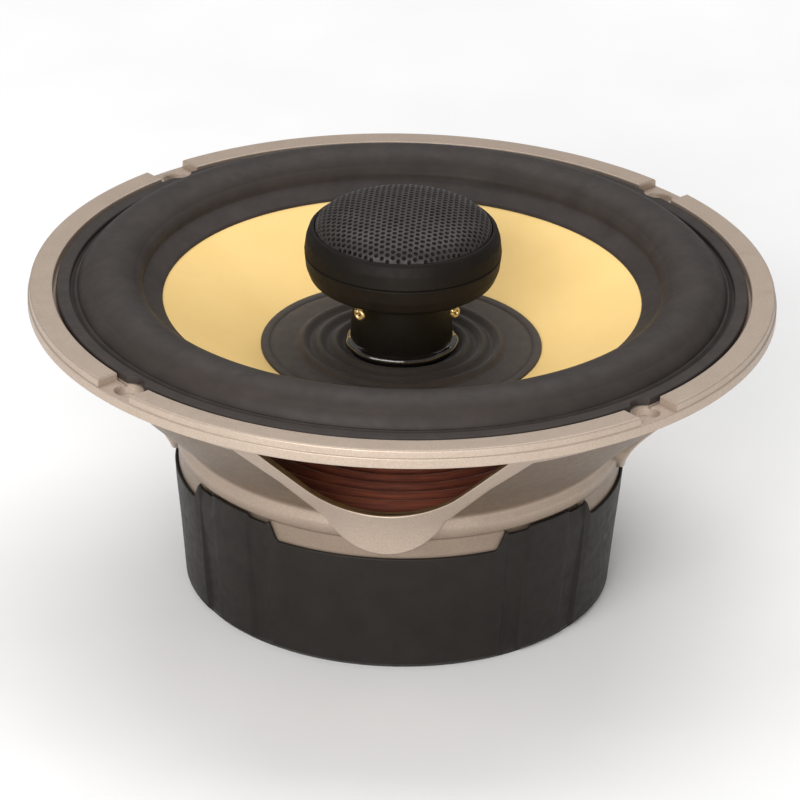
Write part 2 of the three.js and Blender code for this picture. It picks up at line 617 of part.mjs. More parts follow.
// ---------------------------------------------------------------- tweeter housing
const cupFloorTop = cupBottomZ + TWEETER_WALL;
place("tweeter_cup", blackPlastic, turned([
  [POST_SEAT_R - 2, cupBottomZ],
  [CUP_BOTTOM_R, cupBottomZ],
  [CUP_BOTTOM_R + 2.2, cupBottomZ + 0.9],
  [TWEETER_R - 0.9, cupBottomZ + 2.8],
  [TWEETER_R, SEAM_Z - GLUE],
  [TWEETER_R - TWEETER_WALL, SEAM_Z - GLUE],
  [TWEETER_R - TWEETER_WALL - 0.9, cupBottomZ + 3.2],
  [CUP_BOTTOM_R, cupFloorTop],
  [POST_SEAT_R - 2, cupFloorTop],
], TWEETER_SIDES));

const bezelTopZ = RIM_TOP + BEZEL_TOP;
const grilleEdgeZ = bezelTopZ - GRILLE_LEDGE;
const grilleSeatZ = grilleEdgeZ - GRILLE_SKIN - GLUE;
place("tweeter_bezel", blackPlastic, turned([
  [TWEETER_R, SEAM_Z + GLUE],
  [BEZEL_TOP_R + 0.3, bezelTopZ - 0.7],
  [BEZEL_TOP_R, bezelTopZ],
  [BEZEL_INNER_R, bezelTopZ],
  [BEZEL_INNER_R, grilleSeatZ],
  [BEZEL_INNER_R - GRILLE_SEAT, grilleSeatZ],
  [BEZEL_INNER_R - GRILLE_SEAT, grilleSeatZ - 1],
  [TWEETER_R - TWEETER_WALL - 1, SEAM_Z + GLUE],
], TWEETER_SIDES));

// A thin cap of a sphere that stands on a level edge.
const CAP_STEPS = 4;
function cap(radius, rise, edgeZ, thickness, sides) {
  const sphereR = (radius * radius + rise * rise) / (2 * rise);
  const front = Array.from({ length: CAP_STEPS + 1 }, (_, i) => {
    const r = radius * (1 - i / CAP_STEPS);
    return [r, edgeZ + rise - sphereR + Math.sqrt(sphereR * sphereR - r * r)];
  });
  return skin(front, thickness, sides);
}

// The grille is a fuller dome than a sphere's cap, on a short upright edge.
const GRILLE_STEPS = 7;
function fullDome(radius, rise) {
  return Array.from({ length: GRILLE_STEPS + 1 }, (_, i) => {
    const angle = (i / GRILLE_STEPS) * (Math.PI / 2);
    const r = i < GRILLE_STEPS ? radius * Math.cos(angle) ** (2 / GRILLE_FULLNESS) : 0;
    return [r, grilleEdgeZ + rise * Math.sin(angle) ** (2 / GRILLE_FULLNESS)];
  });
}
const grilleR = BEZEL_INNER_R - GLUE;
place("tweeter_grille", blackSteel, turned([
  [grilleR - GRILLE_SKIN, grilleEdgeZ - GRILLE_SKIN],
  [grilleR, grilleEdgeZ - GRILLE_SKIN],
  ...fullDome(grilleR, GRILLE_RISE),
  ...fullDome(grilleR - GRILLE_SKIN, GRILLE_RISE - GRILLE_SKIN).reverse(),
], TWEETER_SIDES));

// ---------------------------------------------------------------- tweeter motor and dome
const yokeBase = cupFloorTop + GLUE;
const yokeFloor = yokeBase + TWEETER_YOKE.base;
const yokeTop = SEAM_Z + TWEETER_YOKE.rise;
const yokeBoreR = DOME_R + TWEETER_GAP.outside;
place("tweeter_yoke", steel, turned([
  [0, yokeBase],
  [TWEETER_YOKE.radius, yokeBase],
  [TWEETER_YOKE.radius, yokeTop],
  [yokeBoreR, yokeTop],
  [yokeBoreR, yokeFloor],
  [0, yokeFloor],
], SMALL_SIDES));
const tweeterMagnetTop = yokeFloor + GLUE + TWEETER_MAGNET_HEIGHT;
const tweeterPoleR = DOME_R - TWEETER_GAP.inside;
place("tweeter_magnet", neodymium,
  rod(tweeterPoleR - 0.4, yokeFloor + GLUE, tweeterMagnetTop, SMALL_SIDES));
place("tweeter_front_plate", steel,
  rod(tweeterPoleR, tweeterMagnetTop + GLUE, yokeTop, SMALL_SIDES));

// The face ring sits on the yoke and holds the outer edge of the dome's soft surround.
const faceZ = yokeTop + GLUE;
const faceTop = faceZ + FACE_THICKNESS;
place("tweeter_face_ring", blackPlastic,
  ring(DOME_SURROUND_R - 0.8, BEZEL_INNER_R - 1.6, faceZ, faceTop, SMALL_SIDES));
const domeEdgeZ = faceTop + 0.4;
const coilOuterR = DOME_R + TWEETER_COIL_WALL;
place("tweeter_dome", silk, cap(coilOuterR, DOME_RISE, domeEdgeZ, DOME_SKIN, SMALL_SIDES));
place("tweeter_coil", copper,
  ring(DOME_R - 0.1, coilOuterR, yokeTop - TWEETER_COIL_DEPTH, domeEdgeZ - DOME_SKIN - GLUE, SMALL_SIDES));
place("tweeter_surround", silk, skin(
  [
    [DOME_SURROUND_R, faceTop + 0.35],
    [DOME_SURROUND_R - 0.8, faceTop + 0.9],
    [DOME_R + 1.5, faceTop + 1.1],
    [coilOuterR + GLUE, domeEdgeZ],
  ],
  0.3,
  SMALL_SIDES,
));

// Two soldered terminals under the cup bring the signal to the tweeter.
[["left", -33], ["right", 51]].forEach(([side, angle]) => {
  const stem = block(LUG.width, LUG.thickness, LUG.length, 0, 0, cupBottomZ - GLUE - LUG.length / 2);
  const sphere = new THREE.SphereGeometry(LUG.beadR, 10, 8);
  const bead = solidOf(sphere.translate(0, 0, cupBottomZ - LUG.beadDrop));
  const lug = joined([stem, bead]).translate([0, -LUG.circleR, 0]);
  place(`tweeter_lug_${side}`, brass, turn(lug, angle));
});

// ---------------------------------------------------------------- rear connection
// The board stands on the apron below the window that faces +Y.
const boardZ = RIM_TOP - BOARD_DEPTH;
const boardR = SKIRT_R + BOARD_STANDOFF;
const boardBack = boardR - BOARD.thickness / 2;
const boardFront = boardR + BOARD.thickness / 2;
const rivetBar = (radius, near, far) =>
  rod(radius, near, far, 12).rotate([-90, 0, 0]).translate([0, 0, boardZ]);
const rivetHole = rivetBar(RIVET.radius + GLUE, SKIRT_R, FLANGE_R);
place("terminal_board", phenolic,
  block(BOARD.width, BOARD.thickness, BOARD.height, 0, boardR, boardZ).subtract(rivetHole));

const basketSide = turned([
  ...proudOutline(CLEARANCE),
  [SKIRT_INNER_R, CHIN_BOTTOM_Z - OVERRUN],
  [SKIRT_INNER_R, FLANGE_BACK],
]);
const spacerY = boardBack - GLUE - SPACER.depth / 2;
place("terminal_spacer", blackPlastic,
  cut(block(SPACER.width, SPACER.depth, SPACER.height, 0, spacerY, boardZ), [basketSide, rivetHole]));
place("terminal_rivet", steel, joined([
  rivetBar(RIVET.radius, boardBack - RIVET.tail, boardFront + GLUE + RIVET.headThickness / 2),
  rivetBar(RIVET.radius + RIVET.head, boardFront + GLUE, boardFront + GLUE + RIVET.headThickness),
]));

// Blade terminals of two widths stand on feet on the board.
[["wide", -BLADE.x, BLADE.wide], ["narrow", BLADE.x, BLADE.narrow]].forEach(([kind, x, width]) => {
  const near = boardFront + GLUE;
  const foot = block(width + 1.2, BLADE.thickness, BLADE.foot, x, near + BLADE.thickness / 2, boardZ);
  const blade = block(width, BLADE.length, BLADE.thickness, x, near + BLADE.length / 2, boardZ + BLADE.rise);
  place(`terminal_${kind}`, brass, foot.add(blade));
});

// The tweeter's series capacitor lies beside the board, on a pad of glue.
const capacitorR = BOOT_TOP_R + CLEARANCE + GLUE + CAPACITOR_R;
const capacitorZ = boardZ - CAPACITOR_DROP;
const beside = (solid) => turn(solid.translate([0, capacitorR, capacitorZ]), CAPACITOR_TURN);
const canEnd = CAPACITOR_LENGTH / 2;
const canShoulder = canEnd - CAPACITOR_BEVEL.length;
const canEndR = CAPACITOR_R - CAPACITOR_BEVEL.inset;
const can = turned([
  [0, -canEnd],
  [canEndR, -canEnd],
  [CAPACITOR_R, -canShoulder],
  [CAPACITOR_R, canShoulder],
  [canEndR, canEnd],
  [0, canEnd],
], 16).rotate([0, 90, 0]);
place("crossover_capacitor", sleeve, beside(can));
const pad = block(PAD_WIDTH, PAD_HEIGHT, PAD_HEIGHT, 0, -CAPACITOR_R - 0.1, 0);
place("capacitor_pad", glue, cut(beside(pad), [
  beside(rod(CAPACITOR_R + CLEARANCE, -canEnd - OVERRUN, canEnd + OVERRUN, 16).rotate([0, 90, 0])),
  rod(SKIRT_R + CLEARANCE, FLOOR_Z, FLANGE_BACK),
]));

export default speaker;
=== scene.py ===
"""Coaxial car speaker: the visible surfaces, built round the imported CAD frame.

Outlines are in millimetres as (radius, height above the foot); mesh_object() makes them metres.
"""
import json
import math

import bmesh
import bpy
import numpy as np
from mathutils import Matrix, Vector
from mathutils.geometry import delaunay_2d_cdt


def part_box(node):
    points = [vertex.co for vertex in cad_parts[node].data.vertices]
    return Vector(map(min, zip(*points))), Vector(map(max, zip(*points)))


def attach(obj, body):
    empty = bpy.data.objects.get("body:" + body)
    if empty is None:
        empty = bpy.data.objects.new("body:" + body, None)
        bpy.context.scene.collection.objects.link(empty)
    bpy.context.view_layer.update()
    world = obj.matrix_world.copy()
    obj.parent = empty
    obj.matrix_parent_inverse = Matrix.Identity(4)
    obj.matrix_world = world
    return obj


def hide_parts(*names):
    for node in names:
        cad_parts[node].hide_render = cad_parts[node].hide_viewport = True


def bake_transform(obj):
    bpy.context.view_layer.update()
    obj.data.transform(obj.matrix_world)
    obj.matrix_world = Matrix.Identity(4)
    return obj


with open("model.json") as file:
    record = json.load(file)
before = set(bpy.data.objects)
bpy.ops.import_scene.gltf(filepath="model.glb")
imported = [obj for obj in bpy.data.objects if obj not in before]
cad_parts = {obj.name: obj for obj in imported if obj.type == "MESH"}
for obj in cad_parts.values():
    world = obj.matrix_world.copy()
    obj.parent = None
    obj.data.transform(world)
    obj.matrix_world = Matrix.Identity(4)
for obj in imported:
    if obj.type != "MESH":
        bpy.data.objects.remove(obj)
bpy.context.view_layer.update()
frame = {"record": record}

MM = 0.001
DIAGONALS = (45, 135, 225, 315)
QUARTERS = (0, 90, 180, 270)


# ---------------- sizes
def top_mm(node):
    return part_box(node)[1].z / MM


def low_mm(node):
    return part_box(node)[0].z / MM


def radius_mm(node):
    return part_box(node)[1].x / MM


RIM_TOP = top_mm("basket")
FLANGE_R = radius_mm("basket")
TAB_LEVEL = RIM_TOP - 1.8
FLANGE_BACK = RIM_TOP - 4.2
RIM_INNER_R = 77.0
HOLE_CIRCLE_R = 78.15
HOLE_R = 2.75
COLLAR_Z = RIM_TOP - 9.6
SHELF_Z = RIM_TOP - 34.9
SKIRT_R = 49.2
FLOOR_Z = low_mm("basket")
CONE_ANGLE = math.radians(27.9)
LAND_R = 52.8
ROLL_OUTER_R = 71.0
ROLL_INNER_R = 57.6
SEAL_R = radius_mm("dust_seal")
SPIDER_R = radius_mm("spider")
COIL_BORE_R = 13.0
POST_R = 10.8
POST_BASE_R = 11.3
POST_STEP_Z = RIM_TOP - 8.2
CUP_Z = low_mm("tweeter_cup")
SEAM_Z = top_mm("tweeter_cup")
TWEETER_R = 21.75
BEZEL_TOP = top_mm("tweeter_bezel")
BEZEL_INNER_R = 19.6


def cone_front(r):
    """Height of the cone's front face at radius r."""
    return RIM_TOP - 3.4 - (LAND_R - r) * math.tan(CONE_ANGLE)


# ---------------- mesh helpers
def arc(centre_r, centre_z, radius, start, end, steps):
    """Points on a circular arc between two angles in degrees."""
    angles = np.radians(np.linspace(start, end, steps + 1))
    return [(centre_r + radius * math.cos(a), centre_z + radius * math.sin(a)) for a in angles]


def rounded(outline, radius=0.3, steps=4):
    """A closed outline with its corners rounded; a third number in a point is its own radius."""
    result = []
    for i, point in enumerate(outline):
        here = np.array(point[:2], float)
        wanted = point[2] if len(point) > 2 else radius
        before = np.array(outline[i - 1][:2]) - here
        after = np.array(outline[(i + 1) % len(outline)][:2]) - here
        reach_limit = 0.47 * min(np.linalg.norm(before), np.linalg.norm(after))
        before = before / max(np.linalg.norm(before), 1e-9)
        after = after / max(np.linalg.norm(after), 1e-9)
        angle = math.acos(float(np.clip(before @ after, -1, 1)))
        if wanted <= 0 or here[0] < 1e-6 or angle > math.radians(172) or reach_limit < 1e-4:
            result.append(tuple(here))
            continue
        reach = min(wanted / math.tan(angle / 2), reach_limit)
        radius_here = reach * math.tan(angle / 2)
        middle = (before + after) / np.linalg.norm(before + after)
        centre = here + middle * radius_here / math.sin(angle / 2)
        first = here + before * reach - centre
        last = here + after * reach - centre
        swing = math.acos(float(np.clip(first @ last / radius_here**2, -1, 1)))
        for k in range(steps + 1):
            t = k / steps
            mixed = math.sin((1 - t) * swing) * first + math.sin(t * swing) * last
            result.append(tuple(centre + mixed / math.sin(swing)))
    return result


def grid_faces(rows, columns, wrap_rows=True, wrap_columns=True):
    """Quads between the vertices of a grid stored row by row."""
    faces = []
    for i in range(rows if wrap_rows else rows - 1):
        for j in range(columns if wrap_columns else columns - 1):
            i2 = (i + 1) % rows
            j2 = (j + 1) % columns
            faces.append((i * columns + j, i2 * columns + j, i2 * columns + j2, i * columns + j2))
    return faces


def linked(name, data):
    """A new object of the scene that holds the data."""
    obj = bpy.data.objects.new(name, data)
    bpy.context.scene.collection.objects.link(obj)
    return obj


def mesh_of(name, work):
    """A new object made from a bmesh, which is freed."""
    mesh = bpy.data.meshes.new(name)
    work.to_mesh(mesh)
    work.free()
    return linked(name, mesh)


def mesh_object(name, points, faces):
    """A mesh object from points in millimetres, with its normals facing out."""
    mesh = bpy.data.meshes.new(name)
    mesh.from_pydata([Vector(p) * MM for p in points], [], faces)
    obj = linked(name, mesh)
    tidy(obj)
    return obj


def tidy(obj):
    """Merges doubled points and turns every face outwards."""
    work = bmesh.new()
    work.from_mesh(obj.data)
    bmesh.ops.remove_doubles(work, verts=work.verts, dist=1e-7)
    bmesh.ops.dissolve_degenerate(work, edges=work.edges, dist=1e-8)
    bmesh.ops.recalc_face_normals(work, faces=work.faces)
    work.to_mesh(obj.data)
    work.free()


def turn(name, outline, sides=256, shape=None):
    """A closed outline turned about Z; shape(angle, points) may change it at each angle."""
    base = np.array([p[:2] for p in outline], float)
    points = []
    for angle in np.linspace(0, 2 * math.pi, sides, endpoint=False):
        ring = shape(angle, base) if shape else base
        sine, cosine = math.sin(angle), math.cos(angle)
        points.extend((r * sine, -r * cosine, z) for r, z in ring)
    return mesh_object(name, points, grid_faces(sides, len(base)))


def apply_modifiers(obj):
    """Replaces the object's mesh by the one its modifiers make."""
    bpy.context.view_layer.update()
    graph = bpy.context.evaluated_depsgraph_get()
    made = bpy.data.meshes.new_from_object(obj.evaluated_get(graph))
    obj.modifiers.clear()
    obj.data = made


def combine(obj, others, operation):
    """Joins the others to obj or cuts them from it, then removes them."""
    for other in others:
        change = obj.modifiers.new("boolean", "BOOLEAN")
        change.solver = "MANIFOLD"
        change.operation = operation
        change.object = other
    apply_modifiers(obj)
    for other in others:
        bpy.data.objects.remove(other)
    return obj


def turned_about(obj, degrees, axis="Z"):
    """Turns obj's mesh about an axis through the origin."""
    obj.data.transform(Matrix.Rotation(math.radians(degrees), 4, axis))
    return obj


def moved(obj, x=0, y=0, z=0):
    obj.data.transform(Matrix.Translation(Vector((x, y, z)) * MM))
    return obj


def at_each(obj, angles):
    """One copy of obj turned about Z to each angle, in place of obj."""
    copies = [turned_about(linked(obj.name, obj.data.copy()), angle) for angle in angles]
    bpy.data.objects.remove(obj)
    return copies


def merged(name, objects):
    """One object that holds the meshes of several."""
    work = bmesh.new()
    for obj in objects:
        work.from_mesh(obj.data)
        bpy.data.objects.remove(obj)
    return mesh_of(name, work)


def smooth(obj, sharp_degrees=38):
    """Smooth shading that keeps real edges, with flat faces left flat."""
    for polygon in obj.data.polygons:
        polygon.use_smooth = True
    obj.data.set_sharp_from_angle(angle=math.radians(sharp_degrees))
    weighted = obj.modifiers.new("weighted", "WEIGHTED_NORMAL")
    weighted.keep_sharp = True
    apply_modifiers(obj)
    return obj


SLOTS = {part["node"]: part["material_slot"] for part in frame["record"]["subparts"]}


def stand_for(piece, node, body="frame", sharp_degrees=38, material=None):
    """Finishes a piece that takes the place of one node, on a body if one is given."""
    slot = SLOTS[node]
    smooth(piece, sharp_degrees)
    piece.data.materials.clear()
    piece.data.materials.append(material or LOOKS[slot])
    if body:
        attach(piece, body)
    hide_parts(node)
    return piece


def rod(name, radius, low, high, edge=0.25, sides=48):
    """A round bar along Z with rounded ends."""
    return turn(name, rounded([(0, low), (radius, low), (radius, high), (0, high)], edge), sides)


def bar(name, size, centre, edge=0.2):
    """A block with rounded edges."""
    work = bmesh.new()
    bmesh.ops.create_cube(work, size=1)
    bmesh.ops.scale(work, vec=Vector(size), verts=work.verts)
    bmesh.ops.bevel(work, geom=work.edges, offset=edge, segments=3, profile=0.5, affect="EDGES")
    bmesh.ops.translate(work, vec=Vector(centre), verts=work.verts)
    bmesh.ops.scale(work, vec=Vector((MM, MM, MM)), verts=work.verts)
    return mesh_of(name, work)


# ---------------- material helpers
def srgb(text):
    """A linear colour from a six-figure hexadecimal one."""
    channels = [int(text[i:i + 2], 16) / 255 for i in (0, 2, 4)]
    linear = [c / 12.92 if c <= 0.04045 else ((c + 0.055) / 1.055) ** 2.4 for c in channels]
    return (*linear, 1.0)


STREAK_RADIUS = 30.0  # streaks have their stated length at this radius


class Look:
    """A principled material with its node tree at hand."""

    def __init__(self, name, metallic=0.0, specular=0.5, coat=0.0, coat_roughness=0.2, sheen=0.0):
        self.material = bpy.data.materials.new(name)
        self.material.use_nodes = True
        self.nodes = self.material.node_tree.nodes
        self.links = self.material.node_tree.links
        self.shader = self.nodes["Principled BSDF"]
        self.shader.inputs["Metallic"].default_value = metallic
        self.shader.inputs["Specular IOR Level"].default_value = specular
        self.shader.inputs["Coat Weight"].default_value = coat
        self.shader.inputs["Coat Roughness"].default_value = coat_roughness
        self.shader.inputs["Sheen Weight"].default_value = sheen
        self.place = self.make("TexCoord", "Object", {})
        self.normal = None

    def make(self, kind, output, inputs, **settings):
        """An output of a new node, whose inputs are linked to sockets or set to values."""
        node = self.nodes.new("ShaderNode" + kind)
        for name, value in settings.items():
            setattr(node, name, value)
        for name, value in inputs.items():
            if isinstance(value, bpy.types.NodeSocket):
                self.links.new(value, node.inputs[name])
            else:
                node.inputs[name].default_value = value
        return node.outputs[output]

    def noise(self, scale, detail=4.0, rough=0.6, stretch=None):
        """Fractal noise with its cell size in millimetres, stretched along an axis if asked."""
        where = self.place
        if stretch:
            where = self.make("Mapping", "Vector", {"Vector": where, "Scale": stretch})
        return self.make("TexNoise", "Fac", {
            "Vector": where, "Scale": 1 / (scale * MM), "Detail": detail, "Roughness": rough})

    def waves(self, scale, direction, distortion=0.0):
        """Bands across one axis, each scale millimetres wide."""
        return self.make("TexWave", "Fac", {
            "Vector": self.place, "Scale": math.pi / (10 * scale * MM), "Distortion": distortion,
            "Detail": 1.0}, bands_direction=direction)

    def maths(self, operation, a, b):
        return self.make("Math", "Value", {0: a, 1: b}, operation=operation)

    def spread(self, value, low, high, from_low=0.3, from_high=0.7):
        """Stretches the middle of a value's range to low..high."""
        return self.make("MapRange", "Result", {
            "Value": value, "From Min": from_low, "From Max": from_high,
            "To Min": low, "To Max": high})

    def ramp(self, value, stops):
        """A colour from a value by (position, colour) stops."""
        colour = self.make("ValToRGB", "Color", {"Fac": value})
        elements = colour.node.color_ramp.elements
        while len(elements) < len(stops):
            elements.new(0.5)
        for element, (position, hexadecimal) in zip(elements, stops):
            element.position = position
            element.color = srgb(hexadecimal)
        return colour

    def two_tone(self, value, dark, light):
        return self.ramp(value, [(0.3, dark), (0.7, light)])

    def mix(self, factor, a, b):
        return self.make("Mix", "Result", {"Factor": factor, "A": a, "B": b}, data_type="RGBA")

    def colour(self, value):
        self.links.new(value, self.shader.inputs["Base Color"])

    def roughness(self, value):
        self.links.new(value, self.shader.inputs["Roughness"])

    def bump(self, value, depth, strength=1.0):
        """Adds a bump whose height is depth millimetres over the value's 0 to 1."""
        inputs = {"Strength": strength, "Distance": depth * MM, "Height": value}
        if self.normal:
            inputs["Normal"] = self.normal
        self.normal = self.make("Bump", "Normal", inputs)
        self.links.new(self.normal, self.shader.inputs["Normal"])
        return self

    def along(self, axis):
        """The place along X, Y or Z, in metres."""
        return self.make("SeparateXYZ", axis, {"Vector": self.place})

    def radius(self):
        """Distance from the speaker's axis, in millimetres."""
        squares = [self.maths("POWER", self.along(axis), 2.0) for axis in "XY"]
        return self.maths("DIVIDE", self.maths("SQRT", self.maths("ADD", *squares), 0), MM)

    def height(self):
        """Height above the foot, in millimetres."""
        return self.maths("DIVIDE", self.along("Z"), MM)

    def angle(self):
        """Angle round the speaker's axis, in radians."""
        return self.maths("ARCTAN2", self.along("Y"), self.along("X"))

    def streaks(self, scale, length, detail=3.0):
        """Noise in streaks round the axis, about length times as long as they are wide."""
        where = self.make("CombineXYZ", "Vector", {
            "X": self.maths("DIVIDE", self.radius(), scale),
            "Y": self.maths("MULTIPLY", self.angle(), STREAK_RADIUS / (scale * length)),
            "Z": self.maths("DIVIDE", self.height(), scale)})
        return self.make("TexNoise", "Fac", {"Vector": where, "Scale": 1.0, "Detail": detail})


# ---------------- materials
def champagne_paint_and_shade():
    """Satin champagne on the rim and straps, with painted shade: a darker, browner tone in the
    recessed panels and on the skirt under the flange.
    """
    look = Look("champagne_paint_and_shade", metallic=0.45, specular=0.5)
    cloud = look.noise(9, 3)
    grain = look.noise(0.35, 2, 0.7)

    def tone(share, patches, specks):
        base = look.two_tone(cloud, patches[0], patches[1])
        fleck = look.ramp(grain, [(0.35, specks[0]), (0.65, specks[1])])
        return look.mix(look.spread(grain, *share), base, fleck)

    # light is the paint's own tone; dark is painted shade for the recessed panels and the skirt
    # under the flange.
    light = tone((0.2, 0.6), ("b09e8e", "b7a595"), ("a69483", "c4b4a5"))
    dark = tone((0.15, 0.4), ("6d5c4c", "776656"), ("685746", "837363"))
    # Painted shade: the recess attribute mixes the dark tone into the recessed panels and the
    # skirt.
    recess = look.make("Attribute", "Fac", {}, attribute_name="recess")
    look.colour(look.mix(recess, light, dark))
    look.roughness(look.spread(look.noise(1.6, 4), 0.36, 0.48))
    look.bump(grain, 0.012).bump(look.noise(3.5, 3), 0.03, 0.5)
    return look.material


def mottled(name, tone, gloss, bumps, **shader):
    """Two tones, uneven gloss and a fine relief, all from noise.

    tone is a noise and two colours, gloss a noise and two roughnesses, and each of bumps a noise,
    a depth in millimetres and perhaps a strength. A noise is given by the arguments of Look.noise.
    """
    look = Look(name, **shader)
    noise, dark, light = tone
    look.colour(look.two_tone(look.noise(*noise), dark, light))
    noise, low, high = gloss
    look.roughness(look.spread(look.noise(*noise), low, high))
    for noise, *amounts in bumps:
        look.bump(look.noise(*noise), *amounts)
    return look.material


def moulded_rubber(name, dark, light, dull, glossy):
    return mottled(name, ((7, 4), dark, light), ((2.2, 5), dull, glossy),
                   [((0.35, 3), 0.01), ((1.8, 3), 0.012, 0.6)], specular=0.25)


def black_plastic(name, dark, light, glossy, dull, specular):
    return mottled(name, ((6, 4), dark, light), ((1.2, 5), glossy, dull),
                   [((0.25, 2), 0.006), ((2.4, 3), 0.01, 0.4)], specular=specular)


def bare_metal(name, dark, light, smooth_side, rough_side, brushed=None):
    """Bare or plated metal; brushed stretches its marks along an axis."""
    return mottled(name, ((1.5, 5, 0.6, brushed), dark, light), ((0.9, 5), smooth_side, rough_side),
                   [((0.3, 4, 0.7, brushed), 0.006)], metallic=1.0)


def golden_cone():
    """Smooth matte golden composite with a faint speckle of short fibres under its resin."""
    look = Look("golden_aramid", specular=0.22)
    cloud = look.noise(16, 3)
    speckle = look.noise(0.3, 4, 0.75)
    tone = look.two_tone(cloud, "fad488", "ffdb92")
    fleck = look.two_tone(speckle, "f3c97a", "ffe2a0")
    look.colour(look.mix(look.spread(speckle, 0.1, 0.4), tone, fleck))
    look.roughness(look.spread(look.noise(2.5, 4), 0.55, 0.68))
    look.bump(speckle, 0.008).bump(look.noise(6, 2), 0.04, 0.3)
    return look.material


def treated_cloth(name, dark, light, thread_mm, gloss):
    """Cloth whose threads run along X and Y, stiffened with varnish."""
    look = Look(name, specular=0.35, sheen=0.1)
    threads = look.maths("MAXIMUM", *(look.waves(thread_mm, axis, 0.4) for axis in "XY"))
    worn = look.maths("ADD", look.maths("MULTIPLY", threads, 0.6),
                      look.maths("MULTIPLY", look.noise(5, 4), 0.4))
    look.colour(look.ramp(worn, [(0.3, dark), (0.8, light)]))
    look.roughness(look.spread(look.noise(3, 4), gloss, gloss + 0.15))
    look.bump(threads, 0.035).bump(look.noise(0.6, 3), 0.02, 0.5)
    return look.material


def spider_cloth():
    """Red-brown treated cloth, streaked round its rings, with amber glue at its outer edge."""
    look = Look("spider_cloth", specular=0.3, sheen=0.3)
    fine = look.streaks(0.35, 18)
    broad = look.streaks(2.2, 5)
    halves = [look.maths("MULTIPLY", streaks, 0.5) for streaks in (fine, broad)]
    both = look.maths("ADD", *halves)
    cloth = look.ramp(both, [(0.34, "55261a"), (0.5, "6e3424"), (0.66, "87472f")])
    amber = look.two_tone(look.noise(1.5, 3), "4a3a1c", "77602c")
    edge = look.spread(look.radius(), 0.0, 1.0, SPIDER_R - 2.6, SPIDER_R - 2.0)
    look.colour(look.mix(edge, cloth, amber))
    look.roughness(look.spread(broad, 0.5, 0.75))
    look.bump(fine, 0.03).bump(broad, 0.06, 0.6)
    return look.material


def wound_copper():
    """Fine wire wound round the axis, turn on turn."""
    look = Look("enamelled_copper", metallic=0.9, coat=0.6)
    wire_width = 0.3
    turns = look.maths("SINE", look.maths("MULTIPLY", look.height(), 2 * math.pi / wire_width), 0)
    look.colour(look.two_tone(look.noise(2, 3), "8f4a26", "c4763f"))
    look.roughness(look.spread(look.noise(1, 3), 0.25, 0.4))
    look.bump(turns, 0.05)
    return look.material


def coated_silk():
    look = Look("coated_silk", specular=0.4, sheen=0.2)
    threads = look.maths("MAXIMUM", *(look.waves(0.22, axis) for axis in "XY"))
    look.colour(look.two_tone(look.noise(2, 4), "141211", "252120"))
    look.roughness(look.spread(look.noise(1, 4), 0.4, 0.6))
    look.bump(threads, 0.012)
    return look.material


LOOKS = {
    "basket_paint": champagne_paint_and_shade(),
    "rubber": moulded_rubber("surround_rubber", "312b28", "3c3532", 0.64, 0.5),
    "boot_rubber": moulded_rubber("boot_rubber", "171310", "1f1a16", 0.6, 0.44),
    "golden_aramid": golden_cone(),
    "seal_cloth": treated_cloth("seal_cloth", "1e1814", "372c25", 0.3, 0.52),
    "spider_cloth": spider_cloth(),
    "former_film": mottled("amber_film", ((4, 3), "a87a2a", "cf9f45"), ((1, 3), 0.25, 0.4),
                           [((2, 2), 0.02)], coat=0.3),
    "copper": wound_copper(),
    "plated_steel": bare_metal("plated_steel", "77777a", "9a9a9e", 0.25, 0.42),
    "screw_steel": bare_metal("screw_steel", "66666a", "8f8f93", 0.25, 0.4, (1, 1, 0.2)),
    "ferrite": mottled("sintered_ferrite", ((1.2, 6, 0.7), "29292b", "444447"),
                       ((0.8, 4), 0.6, 0.85), [((0.5, 5, 0.7), 0.05)], specular=0.4),
    "neodymium": bare_metal("nickel_plate", "a3a4a7", "c6c7ca", 0.12, 0.25),
    "black_plastic": black_plastic("black_plastic", "120e0b", "1a1511", 0.5, 0.64, 0.15),
    "glue": mottled("black_glue", ((2, 3), "120f0d", "241d18"), ((1, 3), 0.12, 0.25),
                    [((1.4, 2), 0.12, 0.7)], specular=0.6, coat=0.8, coat_roughness=0.06),
    "grille_steel": mottled("grille_paint", ((3, 3), "2b2724", "3d3835"), ((0.4, 3), 0.42, 0.56),
                            [((0.12, 2), 0.006)], metallic=0.2, specular=0.35),
    "silk": coated_silk(),
    "brass": bare_metal("gold_plated_brass", "c8ae78", "e8d8ae", 0.3, 0.45),
    "phenolic": mottled("phenolic_board", ((0.8, 5, 0.7, (0.2, 1, 1)), "4e321b", "7a5631"),
                        ((1, 4), 0.4, 0.6), [((0.8, 5, 0.7, (0.2, 1, 1)), 0.02)], specular=0.4),
    "sleeve": mottled("shrink_sleeve", ((3, 3), "23407a", "345696"), ((1, 3), 0.28, 0.42),
                      [((1.6, 3), 0.04)], coat=0.4),
}
POST_PLASTIC = black_plastic("post_plastic", "0c0a08", "13100d", 0.4, 0.5, 0.18)


# ---------------- basket
CONE_TOP_R = 78.2
PANEL_INSET = 1.475  # radial depth of the recessed panels
WINDOW_BOTTOM = 29.1
WINDOW_TOP = 6.4
WINDOW_ARC_R = 21
WINDOW_SLOPE = math.radians(50.8)
CHIN_R = 13.4
CHIN_DEPTH = 28
STRAP_POINTS = 72  # points along half of a strap's length

# The outside of the straps and aprons: height above the foot, radius.
PROUD = [
    (FLOOR_Z, 50.0), (RIM_TOP - 41.8, 50.3), (RIM_TOP - 36.9, 51.3), (RIM_TOP - 33.1, 53.2),
    (RIM_TOP - 28.5, 56.5), (RIM_TOP - 20, 64.1), (RIM_TOP - 10, 73.0), (FLANGE_BACK, 78.2),
]


def proud_radius(z):
    heights, radii = zip(*PROUD)
    around = [float(np.interp(z + step, heights, radii)) for step in (-0.9, -0.45, 0, 0.45, 0.9)]
    return sum(around) / len(around)


